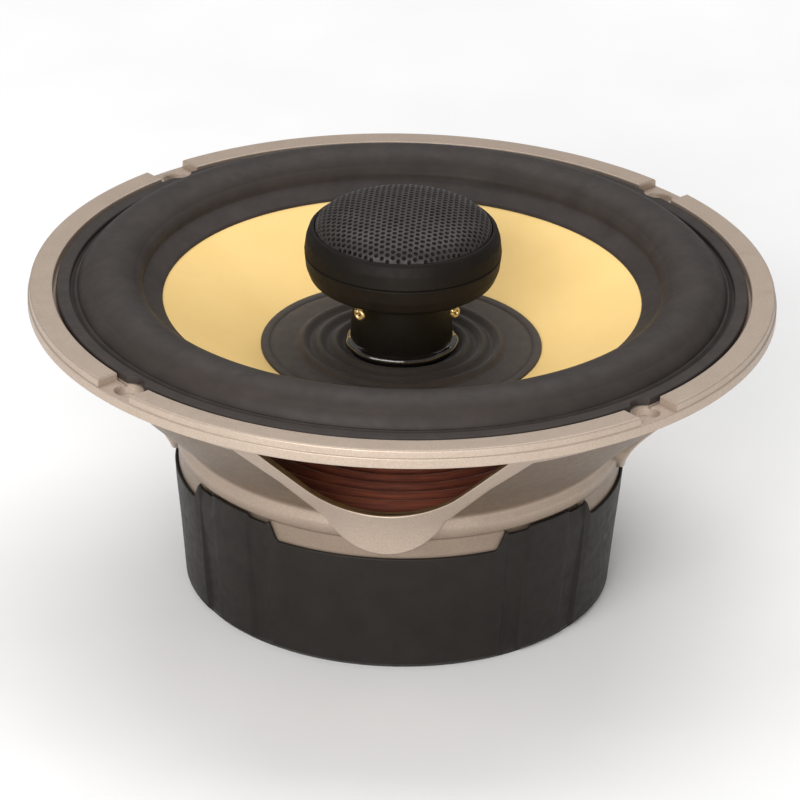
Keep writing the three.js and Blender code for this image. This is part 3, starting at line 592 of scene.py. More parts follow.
def lifted(x, depth, rise):
    """A point on the basket's outside in front, rise mm above the straps' surface."""
    z = RIM_TOP - depth
    radius = proud_radius(z) + rise
    return (x, -math.sqrt(max(radius**2 - x**2, 1.0)), z)


def along(points, count):
    """count points spaced evenly along a polyline."""
    line = np.array(points, float)
    steps = np.r_[0, np.cumsum(np.linalg.norm(np.diff(line, axis=0), axis=1))]
    wanted = np.linspace(0, steps[-1], count)
    return np.stack([np.interp(wanted, steps, line[:, i]) for i in (0, 1)], axis=1)


def mirrored(half):
    """A half outline from its top right to its foot on the middle line, and back up the left."""
    half = np.asarray(half)
    return np.vstack([half, (half[:-1] * (-1, 1))[::-1]])


def window_half(margin, top_depth):
    """Half a window's outline grown by a margin: (x, depth) from its top corner to its foot."""
    radius = WINDOW_ARC_R + margin
    centre = WINDOW_BOTTOM - WINDOW_ARC_R
    angles = np.linspace(math.pi / 2 - WINDOW_SLOPE, math.pi / 2, 30)
    curve = [(radius * math.cos(a), centre + radius * math.sin(a)) for a in angles]
    x, depth = curve[0]
    top = (x + (depth - top_depth) / math.tan(WINDOW_SLOPE), top_depth)
    return along([top, *curve], STRAP_POINTS)


def loft(name, rings):
    """A closed solid through rings of points, with flat ends."""
    count = len(rings[0])
    points = [tuple(p) for ring in rings for p in ring]
    faces = grid_faces(len(rings), count, wrap_rows=False)
    faces += [tuple(range(count)), tuple(range((len(rings) - 1) * count, len(rings) * count))]
    return mesh_object(name, points, faces)


def strap_pair():
    """Both straps of a window and the apron below it, standing proud of the panels."""
    inner = mirrored(window_half(-2.0, COLLAR_DEPTH_IN))
    angles = np.linspace(math.radians(-14), math.radians(-90), 30)
    chin = [(CHIN_R * math.cos(a), CHIN_DEPTH - CHIN_R * math.sin(a)) for a in angles]
    side = [(33.4, COLLAR_DEPTH_IN), (22.6, 19.5), (14.4, 30.2)]
    outer = mirrored(along([*side, *chin], STRAP_POINTS))
    root, face = -3.6, -0.02
    edge = [(0.0, root), (0.0, -0.7), (0.08, -0.36), (0.25, -0.14), (0.55, face)]
    across = outer - inner
    width = np.linalg.norm(across, axis=1)[:, None]
    rings = [[lifted(x, d, root) for x, d in inner]]
    for share in (0, 0.25, 0.5, 0.75):
        rings.append([lifted(x, d, face) for x, d in inner + across * share])
    for inset, rise in reversed(edge):
        rings.append([lifted(x, d, rise) for x, d in outer - across / width * inset])
    rows = len(rings)
    columns = len(rings[0])
    points = [p for ring in rings for p in ring]
    faces = grid_faces(rows, columns, wrap_rows=True, wrap_columns=False)
    faces += [tuple(i * columns for i in range(rows)),
              tuple(i * columns + columns - 1 for i in range(rows))]
    return mesh_object("strap_pair", points, faces)


COLLAR_DEPTH_IN = 8.4  # depth inside the collar where the straps begin


def window_cutter():
    """Cuts a window, rounds its edge outside and slopes its sides away behind it."""
    rings = []
    for margin, rise in [(0.4, 6), (0.4, 0.1), (0.2, -0.06), (0.05, -0.22), (0.05, -0.4),
                         (0.9, -1.9), (1.7, -3.5), (2.2, -6), (2.2, -16)]:
        half = window_half(margin, WINDOW_TOP - min(margin, 1))
        rings.append([lifted(x, depth, rise) for x, depth in mirrored(half)])
    return loft("window_cutter", rings)


def notch_cutter():
    """The gap in the rim at a mounting hole, flared at its top edge."""
    rings = []
    near, far = -75.5, -86
    for half, z in [(5.2, TAB_LEVEL), (5.2, RIM_TOP - 0.35), (5.5, RIM_TOP - 0.02),
                    (5.5, RIM_TOP + 2)]:
        rings.append([(-half, near, z), (half, near, z), (half, far, z), (-half, far, z)])
    return loft("notch_cutter", rings)


def hole_cutter():
    low, back_r, front_r = FLANGE_BACK - 9, HOLE_R + 0.4, HOLE_R + 0.35
    outline = [(0, low), (back_r, low), (back_r, FLANGE_BACK - 0.05), (HOLE_R, FLANGE_BACK + 0.35),
               (HOLE_R, TAB_LEVEL - 0.3), (front_r, TAB_LEVEL + 0.05), (front_r, RIM_TOP + 1),
               (0, RIM_TOP + 1)]
    return moved(turn("hole_cutter", outline, 48), y=-HOLE_CIRCLE_R)


def mark_painted_shade(obj):
    """Stores the painted shade's darkness: 0 on the rim and straps, 1 on the panels, 0.75 on the
    skirt.
    """
    marks = []
    for vertex in obj.data.vertices:
        x, y, z = vertex.co / MM
        # Painted shade: darker where the surface sits below the straps, fullest on the panels and
        # the skirt under the flange.
        below = fade(proud_radius(z) - math.hypot(x, y), 0.4, 1.1)
        panel = fade(z, SHELF_Z + 0.6, SHELF_Z + 2.4)
        skirt = 0.75 * (1 - fade(z, SHELF_Z - 2.4, SHELF_Z - 1.0))
        marks.append(below * max(panel, skirt, 0.4) if z < COLLAR_Z + 0.2 else 0)
    layer = obj.data.attributes.new("recess", "FLOAT", "POINT")
    layer.data.foreach_set("value", marks)


OPENING_R = 71.5


def basket():
    collar_r = proud_radius(COLLAR_Z)
    inner = 3.5  # radial thickness of the wall

    def groove(angle, ring):
        """A gap between the skirt and the boot's tall walls."""
        folded = abs((math.degrees(angle) + 45) % 90 - 45)
        changed = ring.copy()
        inside = (ring[:, 1] < SHELF_Z - 3.1) & (ring[:, 1] > 30) & (ring[:, 0] > 48)
        changed[inside, 0] -= 1.2 * fade(folded, 31.0, 31.8)
        return changed
    body = turn("painted_basket", rounded([
        (OPENING_R, TAB_LEVEL, 0.2), (76.2, TAB_LEVEL, 0), (76.4, TAB_LEVEL - 0.5, 0.1),
        (RIM_INNER_R, TAB_LEVEL - 0.5, 0.1), (RIM_INNER_R, RIM_TOP, 0.3),
        (FLANGE_R - 0.35, RIM_TOP, 0.45), (FLANGE_R - 0.3, TAB_LEVEL + 0.12, 0.05),
        (FLANGE_R, TAB_LEVEL - 0.1, 0.3), (FLANGE_R, FLANGE_BACK, 0.4),
        (CONE_TOP_R, FLANGE_BACK, 1.2), (collar_r, COLLAR_Z, 0.5),
        (collar_r - PANEL_INSET, COLLAR_Z - 0.4, 0.7),
        (64.1 - PANEL_INSET, RIM_TOP - 20, 12), (SKIRT_R + 0.1, SHELF_Z + 2.2, 2.4),
        (SKIRT_R + 0.75, SHELF_Z - 0.5, 2.2), (SKIRT_R + 0.45, SHELF_Z - 2.9, 1.2),
        (SKIRT_R, SHELF_Z - 3.4, 0.6), (SKIRT_R, 30.2, 0.1), (SKIRT_R, FLOOR_Z, 0.4),
        (17, FLOOR_Z, 0.3), (17, FLOOR_Z + 2, 0.3),
        (44.6, FLOOR_Z + 2, 1.5), (44.6, SHELF_Z - 0.6, 0.4), (46.4, SHELF_Z - 0.6, 0.2),
        (64.1 - PANEL_INSET - inner, RIM_TOP - 20, 8),
        (collar_r - PANEL_INSET - inner, COLLAR_Z, 2),
        (73.6, FLANGE_BACK - 0.6, 1), (OPENING_R, FLANGE_BACK + 0.3, 0.4),
    ], 0.3, 5), 360, groove)
    combine(body, at_each(strap_pair(), QUARTERS), "UNION")
    cutters = at_each(window_cutter(), QUARTERS)
    cutters += at_each(notch_cutter(), DIAGONALS)
    cutters += at_each(hole_cutter(), DIAGONALS)
    combine(body, cutters, "DIFFERENCE")
    tidy(body)
    mark_painted_shade(body)
    stand_for(body, "basket", "frame", 32)


# ---------------- gasket, surround and cone
def gasket():
    """A ring over the surround's lip, with a scallop at each mounting hole."""
    inner_r, lip_r, outer_r, top = 73.15, 74.7, 76.2, RIM_TOP - 0.15
    ring = turn("rubber_gasket", rounded([
        (inner_r, TAB_LEVEL + 0.7), (lip_r, TAB_LEVEL + 0.7), (lip_r, TAB_LEVEL + 0.05),
        (outer_r, TAB_LEVEL + 0.05), (outer_r, top, 0.45), (inner_r, top, 0.5),
    ], 0.1, 5), 320)
    scallop = [(0, TAB_LEVEL - 1), (3.5, TAB_LEVEL - 1), (3.5, RIM_TOP - 0.5, 0),
               (3.9, RIM_TOP + 0.5, 0), (0, RIM_TOP + 0.5)]
    relief = moved(turn("relief", rounded(scallop, 0), 64), y=-HOLE_CIRCLE_R)
    combine(ring, at_each(relief, DIAGONALS), "DIFFERENCE")
    stand_for(ring, "surround_gasket")


def radial_blend(obj):
    """Bakes obj's transform into its mesh."""
    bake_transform(obj)


def surround():
    """A rubber skin: its lip under the gasket, a groove, the half roll and a land on the cone."""
    thickness = 0.55
    lip_top = TAB_LEVEL + 0.65
    inner_z = cone_front(ROLL_INNER_R) + 0.7
    middle = (ROLL_OUTER_R + ROLL_INNER_R) / 2
    half = (ROLL_OUTER_R - ROLL_INNER_R) / 2
    crest = RIM_TOP + 4.7
    front = [(74.5, lip_top), (73.2, lip_top), (72.9, lip_top - 0.05), (72.5, lip_top + 0.15),
             (72.0, lip_top + 0.75), (71.6, lip_top + 0.75), (71.2, lip_top + 0.35)]
    for degrees in np.linspace(4, 176, 29):
        x = math.cos(math.radians(degrees))
        y = math.sin(math.radians(degrees))
        base = lip_top + (inner_z - lip_top) * (1 - x) / 2
        front.append((middle + half * x, base + (crest - base) * y))
    front.append((ROLL_INNER_R - 0.4, inner_z - 0.1))
    for r, above in ((ROLL_INNER_R - 1.6, 0.62), (LAND_R + 0.5, 0.58), (LAND_R, 0.35)):
        front.append((r, cone_front(r) + above))
    back = []
    for i, (r, z) in enumerate(front):
        before = np.array(front[max(i - 1, 0)])
        after = np.array(front[min(i + 1, len(front) - 1)])
        way = (after - before) / np.linalg.norm(after - before)
        back.append((r + way[1] * thickness, z - abs(way[0]) * thickness))
    back[-1] = (LAND_R, cone_front(LAND_R) + 0.05)
    skin = turn("rubber_surround", front + back[::-1], 320)
    stand_for(skin, "surround", None, 50)
    radial_blend(skin)


def cone():
    """A thin dished skin that ends in a short upright neck on the former."""
    outer_r, neck_r, former_r = 57.2, 14.3, 13.5
    edge, neck = cone_front(outer_r), cone_front(neck_r)
    skin = turn("golden_cone", rounded([
        (outer_r, edge), (SEAL_R, cone_front(SEAL_R), 0), (neck_r, neck), (former_r, neck - 0.3),
        (former_r, neck - 1), (neck_r, neck - 0.9), (outer_r, edge - 0.8),
    ], 0.25), 320)
    stand_for(skin, "cone", "cone")


def wavy_skin(name, samples, thickness, sides):
    """A thin turned skin through (radius, height) samples of its front, rounded at both ends."""
    back = [(r, z - thickness) for r, z in samples]
    return turn(name, list(samples) + back[::-1], sides)


def ridged(outer_r, inner_r, outer_z, inner_z, ridges, height, count):
    """Samples of a skin with round ridges between two radii, from the outer one in."""
    samples = []
    for r in np.linspace(outer_r, inner_r, count):
        share = (outer_r - r) / (outer_r - inner_r)
        ridge = height * (0.5 - 0.5 * math.cos(share * 2 * math.pi * ridges))
        samples.append((r, outer_z + (inner_z - outer_z) * share + ridge))
    return samples


def dust_seal():
    """A skin with three ridges between its glued edge on the cone and the post."""
    edge_z = cone_front(SEAL_R) + 0.62
    inner_r = POST_BASE_R + 0.35
    samples = [
        (SEAL_R, edge_z - 0.3), (SEAL_R - 0.25, edge_z), (SEAL_R - 1.5, edge_z + 0.02),
        (SEAL_R - 2.0, edge_z - 0.45), (SEAL_R - 2.6, edge_z - 0.1), (SEAL_R - 4.5, edge_z - 0.02),
    ]
    samples += ridged(23.7, 12.7, edge_z - 0.4, edge_z - 0.7, ridges=3, height=1.25, count=70)
    last_r, last_z = samples[-1]
    samples += [((last_r + inner_r) / 2, last_z - 0.2), (inner_r, last_z - 0.2)]
    skin = wavy_skin("corrugated_dust_seal", samples, 0.45, 256)
    stand_for(skin, "dust_seal", None, 60)
    radial_blend(skin)


def spider():
    """A corrugated skin between the basket's shelf and the voice coil former."""
    inner_r = 13.46
    outer_z = SHELF_Z + 0.6
    samples = [(SPIDER_R, outer_z), (SPIDER_R - 2.4, outer_z)]
    samples += ridged(SPIDER_R - 2.6, inner_r + 2, outer_z, outer_z,
                      ridges=7, height=1.9, count=110)
    samples += [(inner_r + 0.6, outer_z), (inner_r, outer_z + 0.8)]
    skin = wavy_skin("corrugated_spider", samples, 0.5, 256)
    stand_for(skin, "spider", None, 60)
    radial_blend(skin)


# ---------------- boot
def fade(value, low, high):
    t = min(max((value - low) / (high - low), 0), 1)
    return t * t * (3 - 2 * t)


def boot():
    """A cup of rubber whose wall is high behind each window and low between them."""
    wall_top, notch_top = 32.6, 28.5
    foot_r, top_r = 47.4, radius_mm("magnet_boot")

    def shape(angle, ring):
        folded = abs((math.degrees(angle) + 45) % 90 - 45)
        lift = fade(folded, 28.4, 31.7)
        recess = fade(folded, 31.6, 32.2) - fade(folded, 37.8, 38.4)
        changed = ring.copy()
        r, z = ring[:, 0], ring[:, 1]
        upper = z > 27
        outside = (upper & (r > 49.7)) | (~upper & (r > 45.6) & (z > 0.9))
        changed[upper, 1] -= (1 - lift) * (wall_top - notch_top) + recess * 0.9
        changed[outside, 0] -= recess * 0.7
        return changed

    outline = rounded([
        (30, 0, 0.3), (foot_r - 1.3, 0, 0.5), (foot_r, 1.3, 0.6),
        (foot_r + (top_r - foot_r) * 0.45, 14, 0), (top_r - 0.35, 28.3, 0), (top_r, wall_top, 0.45),
        (49.3, wall_top, 0.2), (49.3, 27.6, 0), (49.3, FLOOR_Z - 0.1, 0.3),
        (44.75, FLOOR_Z - 3.1, 0.3), (44.75, 1.5, 0.4), (30, 1.5, 0.3),
    ], 0.3, 4)
    shell = turn("moulded_boot", outline, 720, shape)
    stand_for(shell, "magnet_boot", "frame", 34)


# ---------------- post and tweeter
def post():
    """The hollow post and the uneven bead of glue round its foot."""
    base_z, top_z, floor_z = low_mm("tweeter_post"), CUP_Z - 0.05, RIM_TOP - 30
    bore_r, screw_hole_r = 7, 2.6
    shell = turn("post_shell", rounded([
        (screw_hole_r, base_z, 0.1), (POST_BASE_R - 0.5, base_z, 0.3),
        (POST_BASE_R, base_z + 1.0, 0.3), (POST_BASE_R, POST_STEP_Z - 2.5, 9),
        (POST_R, POST_STEP_Z + 4, 9), (POST_R, top_z, 0.1),
        (bore_r, top_z, 0.1), (bore_r, floor_z, 0.2), (screw_hole_r, floor_z, 0.1),
    ], 0.2), 160)
    stand_for(shell, "tweeter_post", material=POST_PLASTIC)

    rng = np.random.default_rng(7)
    phases = rng.uniform(0, 2 * math.pi, 6)

    def uneven(angle, ring):
        wobble = sum(math.sin(angle * (2 * k + 3) + phase) / (k + 2)
                     for k, phase in enumerate(phases))
        changed = ring.copy()
        changed[:, 0] = inner_r + (ring[:, 0] - inner_r) * (0.92 + 0.3 * wobble)
        changed[:, 1] += 0.22 * wobble * (ring[:, 1] > bead_z + 0.2)
        return changed

    bead_z = low_mm("post_glue_ring")
    inner_r = POST_BASE_R + 0.04
    bead = [(inner_r, bead_z), (POST_BASE_R + 1.35, bead_z + 0.35)]
    bead += arc(POST_BASE_R + 0.35, bead_z + 0.5, 1.0, 0, 90, 8)
    bead += [(inner_r, bead_z + 1.75)]
    ring = turn("glue_bead", bead, 256, uneven)
    stand_for(ring, "post_glue_ring", "frame", 60)


def tweeter_housing():
    cup = turn("tweeter_cup_shell", rounded([
        (5, CUP_Z, 0.2), (17.6, CUP_Z, 1.6), (20.4, CUP_Z + 1.7, 1.8), (21.35, CUP_Z + 4.2, 2.0),
        (TWEETER_R - 0.05, SEAM_Z - 0.25, 0.15), (TWEETER_R - 0.3, SEAM_Z, 0.05),
        (TWEETER_R - 1.2, SEAM_Z, 0.1), (TWEETER_R - 2.2, CUP_Z + 3.2, 1), (17.4, CUP_Z + 1.2, 1),
        (5, CUP_Z + 1.2, 0.2),
    ], 0.2, 6), 224)
    stand_for(cup, "tweeter_cup")
    seam = low_mm("tweeter_bezel")
    ledge, ledge_r = BEZEL_TOP - 1.5, BEZEL_INNER_R - 1.2
    bezel = turn("tweeter_bezel_shell", rounded([
        (TWEETER_R - 0.3, seam, 0.05), (TWEETER_R, seam + 0.3, 0.15),
        (TWEETER_R - 0.35, seam + 3.2, 3), (20.75, BEZEL_TOP - 0.55, 0.5), (20.25, BEZEL_TOP, 0.3),
        (BEZEL_INNER_R, BEZEL_TOP, 0.25), (BEZEL_INNER_R, ledge, 0.1), (ledge_r, ledge, 0.2),
        (ledge_r, ledge - 0.9, 0.2), (TWEETER_R - 2.2, seam, 0.3),
    ], 0.2, 6), 224)
    stand_for(bezel, "tweeter_bezel")


GRILLE_RISE, GRILLE_FULLNESS = 5.8, 2.3
GRILLE_SKIN = 0.5


def grille():
    """A full dome drawn from a flat disc, with holes in a triangular pattern in columns along Y."""
    edge_r, edge_z = BEZEL_INNER_R - 0.06, BEZEL_TOP - 0.8
    pitch, hole_r, hole_sides, rim_sides = 1.46, 0.5, 10, 160
    angles = np.linspace(0, math.pi / 2, 200)
    dome_r = edge_r * np.cos(angles)[::-1] ** (2 / GRILLE_FULLNESS)
    dome_z = edge_z + GRILLE_RISE * np.sin(angles)[::-1] ** (2 / GRILLE_FULLNESS)
    along_dome = np.r_[0, np.cumsum(np.hypot(np.diff(dome_r), np.diff(dome_z)))]
    disc_r = along_dome[-1]

    def circle(x, y, radius, count):
        steps = np.linspace(0, 2 * math.pi, count, endpoint=False)
        return [(x + radius * math.cos(a), y + radius * math.sin(a)) for a in steps]

    points = circle(0, 0, disc_r, rim_sides)
    loops = [list(range(rim_sides))]
    rows = int(disc_r / pitch) + 3
    centres = [(pitch * j * math.sqrt(3) / 2, pitch * (i + j / 2))
               for i in range(-2 * rows, 2 * rows + 1) for j in range(-rows, rows + 1)]
    centres = np.array([c for c in centres if math.hypot(*c) < disc_r - 0.75])
    for x, y in centres:
        loops.append(list(range(len(points), len(points) + hole_sides)))
        points += circle(x, y, hole_r, hole_sides)
    made, _, faces, _, _, _ = delaunay_2d_cdt([Vector(p) for p in points], [], loops, 1, 1e-5)
    flat = np.array(made)
    apothem = hole_r * math.cos(math.pi / hole_sides)
    web = []
    for face in faces:
        middle = flat[list(face)].mean(axis=0)
        if np.min(np.hypot(*(centres - middle).T)) > apothem:
            web.append(tuple(face))
    reach = np.hypot(*flat.T)
    shrink = np.interp(reach, along_dome, dome_r) / np.maximum(reach, 1e-6)
    heights = np.interp(reach, along_dome, dome_z)
    domed = [(x * k, y * k, z) for (x, y), k, z in zip(flat, shrink, heights)]
    dome = mesh_object("perforated_grille", domed, web)
    thick = dome.modifiers.new("thickness", "SOLIDIFY")
    thick.thickness = GRILLE_SKIN * MM
    thick.offset = -1
    apply_modifiers(dome)
    stand_for(dome, "tweeter_grille", "frame", 50)


def tweeter_inside():
    """The parts behind the grille."""
    coil_r = radius_mm("tweeter_coil")
    dome_low, dome_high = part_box("tweeter_dome")
    radius, edge = dome_high.x / MM, dome_low.z / MM
    rise = dome_high.z / MM - edge - 0.35
    sphere_r = (radius**2 + rise**2) / (2 * rise)
    front = [(r, edge + 0.35 + rise - sphere_r + math.sqrt(sphere_r**2 - r * r))
             for r in np.linspace(radius, 0, 18)]
    back = [(r, z - 0.3) for r, z in front]
    dome = turn("silk_dome", front + back[::-1], 96)
    stand_for(dome, "tweeter_dome", "tweeter_dome")
    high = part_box("tweeter_surround")[1]
    outer_r, crest = high.x / MM, high.z / MM
    roll = arc((coil_r + outer_r) / 2, crest - 1.0, (outer_r - coil_r) / 2 - 0.1, 0, 180, 10)
    roll = [(r, crest - 0.95 + (z - crest + 1.0) * 0.7) for r, z in roll]
    skin = wavy_skin("silk_surround", roll, 0.2, 96)
    stand_for(skin, "tweeter_surround")


LUG_CIRCLE_R = 15.6


def lugs():
    """Solder lugs under the tweeter: a gold-plated eye on a short stem, with a bead of solder."""
    for side, angle in (("left", -33), ("right", 51)):
        stem = bar("stem", (1.5, 0.5, 1.7), (0, 0, CUP_Z - 0.9), 0.12)
        ring = []
        for a in np.linspace(0, 2 * math.pi, 32, endpoint=False):
            for b in np.linspace(0, 2 * math.pi, 14, endpoint=False):
                reach = 0.88 + 0.5 * math.cos(b)
                ring.append((reach * math.cos(a), 0.5 * math.sin(b),
                             CUP_Z - 2.4 + reach * math.sin(a)))
        eye = mesh_object("eye", ring, grid_faces(32, 14))
        bead = []
        for a in np.linspace(0, math.pi, 14):
            for b in np.linspace(0, 2 * math.pi, 24, endpoint=False):
                lump = 0.8 * (1 + 0.12 * math.sin(2 * b + 1) * math.sin(a))
                girth = lump * math.sin(a)
                bead.append((girth * math.cos(b) - 0.5, girth * math.sin(b) + 0.1,
                             CUP_Z - 1.8 + lump * math.cos(a)))
        solder = mesh_object("solder", bead, grid_faces(14, 24, wrap_rows=False))
        lug = merged(f"solder_lug_{side}", [stem, eye, solder])
        turned_about(moved(lug, y=-LUG_CIRCLE_R), angle)
        stand_for(lug, f"tweeter_lug_{side}")


# ---------------- motor and inner pieces
def span_mm(node):
    """A node's low and high level and its greatest radius."""
    return low_mm(node), top_mm(node), radius_mm(node)


def turned_ring(node, inner_r, edge=0.3, body="frame", sides=160):
    """A finely turned ring or disc between the node's own heights and out to its own radius."""
    low, high, outer = span_mm(node)
    outline = rounded([(inner_r, low), (outer, low), (outer, high), (inner_r, high)], edge)
    stand_for(turn(f"turned_{node}", outline, sides), node, body)


def yoke():
    """The back plate and the pole on it, in one piece, bored through for the post's screw."""
    low, top, radius = span_mm("yoke_and_pole")
    plate_top = low_mm("magnet_ring") - 0.05
    pole_r = COIL_BORE_R - 0.6
    outline = rounded([
        (3.2, low + 2.6, 0.2), (10, low + 2.6, 0.3), (10, low, 0.5), (radius - 1.4, low, 0.5),
        (radius, low + 1.4, 0.5), (radius, plate_top, 0.3), (pole_r, plate_top, 0.6),
        (pole_r, top, 0.6), (3.2, top, 0.4),
    ])
    stand_for(turn("turned_yoke_and_pole", outline, 192), "yoke_and_pole")


def winding():
    """Wire wound side by side: one ridge for each turn."""
    low, high, outer = span_mm("voice_coil_winding")
    inner_r, turns, depth = COIL_BORE_R + 0.45, 36, 0.06
    outline = [(inner_r, low), (inner_r, high)]
    for k in np.linspace(1, 0, 4 * turns + 1):
        ridge = math.cos(2 * math.pi * turns * k)
        outline.append((outer - depth + depth * ridge, low + (high - low) * k))
    stand_for(turn("wound_voice_coil", outline[::-1], 128), "voice_coil_winding", "cone", 60)


def motor():
    turned_ring("front_plate", COIL_BORE_R + 1.6, 0.4)
    turned_ring("magnet_ring", 22, 1.0)
    turned_ring("shorting_ring", COIL_BORE_R - 0.55)
    turned_ring("post_washer", 2.25, 0.2)
    turned_ring("voice_coil_former", COIL_BORE_R, 0.08, "cone")
    yoke()
    winding()


def post_screw():
    """A hexagon head with its corners turned off, on a round shank."""
    low, high = low_mm("post_screw"), top_mm("post_screw")
    head_r, head_top = 4.4, low + 2.2
    head = turn("hexagon", [(0, low), (head_r, low), (head_r, head_top), (0, head_top)], 6)
    corners = rounded([(0, low - 0.01), (head_r - 0.75, low - 0.01), (head_r + 0.1, low + 0.6, 0.4),
                       (head_r + 0.1, head_top + 1), (0, head_top + 1)], 0.1)
    combine(head, [turn("corners", corners, 96)], "INTERSECT")
    shank = rod("shank", 2.2, head_top - 0.4, high, 0.4)
    stand_for(combine(head, [shank], "UNION"), "post_screw", "frame", 30)


SCREW_CIRCLE_R = 36


def basket_screws():
    """Pan heads with a crossed recess."""
    low, high = low_mm("basket_screw_1"), top_mm("basket_screw_1")
    for number, angle in enumerate(DIAGONALS, 1):
        head = turn(f"pan_head_{number}", rounded([
            (0, low), (3.6, low, 0.3), (3.6, low + 1.1, 0.8), (2.4, high, 1.2), (0, high)]), 64)
        slots = [turned_about(bar("slot", (4.6, 0.85, 1.8), (0, 0, high), 0.12), quarter)
                 for quarter in (0, 90)]
        combine(head, slots, "DIFFERENCE")
        turned_about(moved(head, y=-SCREW_CIRCLE_R), angle)
        stand_for(head, f"basket_screw_{number}", "frame", 34)


def tweeter_motor():
    low, top, radius = span_mm("tweeter_yoke")
    floor_z, well_r = low_mm("tweeter_magnet") - 0.05, 11.1
    outline = rounded([(0, low), (radius, low, 0.5), (radius, top, 0.4), (well_r, top, 0.2),
                       (well_r, floor_z, 0.3), (0, floor_z)])
    stand_for(turn("turned_tweeter_yoke", outline, 96), "tweeter_yoke")
    turned_ring("tweeter_magnet", 0, 0.3, "frame", 96)
    turned_ring("tweeter_front_plate", 0, 0.15, "frame", 96)
    turned_ring("tweeter_face_ring", 12.4, 0.25, "frame", 128)
    turned_ring("tweeter_coil", 9.9, 0.06, "tweeter_dome", 96)


# ---------------- terminals and capacitor
BOARD_LOW, BOARD_HIGH = (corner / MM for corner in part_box("terminal_board"))
BOARD_MIDDLE = (BOARD_LOW + BOARD_HIGH) / 2


def rounded_rectangle(width, height, corner, steps=5):
    half_w, half_h = width / 2 - corner, height / 2 - corner
    points = []
    for side, end, start in ((1, 1, 0), (-1, 1, 90), (-1, -1, 180), (1, -1, 270)):
        points += arc(side * half_w, end * half_h, corner, start, start + 90, steps)
    return points


def slab(name, size, centre, corner, edge=0.15):
    """A slab that faces Y, with rounded corners and edges; size is width, thickness, height."""
    width, thickness, height = size
    x, y, z = centre
    rings = []
    for inset, depth in ((edge, 0), (0.3 * edge, 0.3 * edge), (0, edge), (0, thickness - edge),
                         (0.3 * edge, thickness - 0.3 * edge), (edge, thickness)):
        outline = rounded_rectangle(width - 2 * inset, height - 2 * inset, corner - inset)
        rings.append([(x + across, y - thickness / 2 + depth, z + up) for across, up in outline])
    return loft(name, rings)


def facing_y(obj, x, y, z):
    """Lays a piece turned about Z along Y instead, with its origin at the place given."""
    return moved(turned_about(obj, -90, "X"), x, y, z)


def terminal_board():
    size = BOARD_HIGH - BOARD_LOW
    board = slab("phenolic_terminal_board", size, BOARD_MIDDLE, 1.2, 0.2)
    holes = [facing_y(rod("hole", radius, -3, 3, 0.05), x, BOARD_MIDDLE.y, BOARD_MIDDLE.z)
             for radius, x in ((1.45, 0), (0.9, -4.2), (0.9, 4.2))]
    stand_for(combine(board, holes, "DIFFERENCE"), "terminal_board")


def terminal_spacer():
    """A block behind the board, hollowed to sit on the apron, with the rivet's hole through it."""
    middle = (0, BOARD_LOW.y - 1.65, BOARD_MIDDLE.z)
    spacer = slab("moulded_terminal_spacer", (7, 3.2, 5), middle, 0.6, 0.25)
    heights = np.linspace(26, 42, 17)
    side = [(proud_radius(z) + 0.3, z) for z in heights]
    apron = turn("apron", [(40, 26), *side, (40, 42)], 256)
    hole = facing_y(rod("hole", 1.45, -9, 3, 0.05), 0, BOARD_MIDDLE.y, BOARD_MIDDLE.z)
    stand_for(combine(spacer, [apron, hole], "DIFFERENCE"), "terminal_spacer")


def terminal_rivet():
    """A hollow rivet with a rolled head."""
    tail = (BOARD_LOW.y - BOARD_HIGH.y) - 1.4
    rivet = turn("rolled_rivet", rounded([
        (0, tail), (1.4, tail, 0.2), (1.4, 0.05, 0.1), (2.6, 0.05, 0.2), (2.6, 0.75, 0.5),
        (1.5, 1.1, 0.3), (0.8, 0.7, 0.3), (0.7, -0.6, 0.1), (0, -0.6),
    ], 0.1), 64)
    stand_for(facing_y(rivet, 0, BOARD_HIGH.y, BOARD_MIDDLE.z), "terminal_rivet")


def terminal_blade(kind):
    """A push-on blade with a tapered tip and a detent hole, on a riveted foot."""
    low, high = (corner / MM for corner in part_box(f"terminal_{kind}"))
    middle = (low + high) / 2
    width = high.x - low.x - 1.2
    length = high.y - low.y
    blade_z = BOARD_MIDDLE.z + 2.1
    half, shoulder = width / 2, length - 1.6
    outline = [(-half, 0), (half, 0), (half, shoulder), (half - 0.8, length),
               (0.8 - half, length), (-half, shoulder)]
    rings = []
    for inset, z in ((0.18, -0.4), (0, -0.22), (0, 0.22), (0.18, 0.4)):
        scale_x, scale_y = 1 - 2 * inset / width, 1 - inset / length
        rings.append([(middle.x + x * scale_x, low.y + y * scale_y, blade_z + z)
                      for x, y in outline])
    blade = loft("blade", rings)
    detent = rod("detent", {"narrow": 0.55, "wide": 0.8}[kind], -2, 2, 0.05)
    combine(blade, [moved(detent, middle.x, high.y - 2.9, blade_z)], "DIFFERENCE")
    foot = slab("foot", (width + 1.2, 0.8, 5), (middle.x, low.y + 0.4, BOARD_MIDDLE.z), 0.5, 0.15)
    eyelet = turn("eyelet", rounded([(0, -0.3), (0.9, -0.3), (0.9, 0.5, 0.25), (0, 0.5)], 0.1), 48)
    facing_y(eyelet, middle.x, low.y + 0.8, BOARD_MIDDLE.z - 0.9)
    piece = combine(blade, [foot, eyelet], "UNION")
    piece.name = f"blade_terminal_{kind}"
    stand_for(piece, f"terminal_{kind}", "frame", 30)


def terminal_blades():
    terminal_blade("wide")
    terminal_blade("narrow")


CAPACITOR_R, CAPACITOR_LENGTH, CAPACITOR_TURN = 4, 15, 25
CAPACITOR_AXIS_R = 54.8


def beside_board(obj):
    """Moves a piece made along X at the origin to the capacitor's place."""
    moved(obj, y=CAPACITOR_AXIS_R, z=BOARD_MIDDLE.z - 0.2)
    return turned_about(obj, CAPACITOR_TURN)


def along_x(obj):
    return turned_about(obj, 90, "Y")


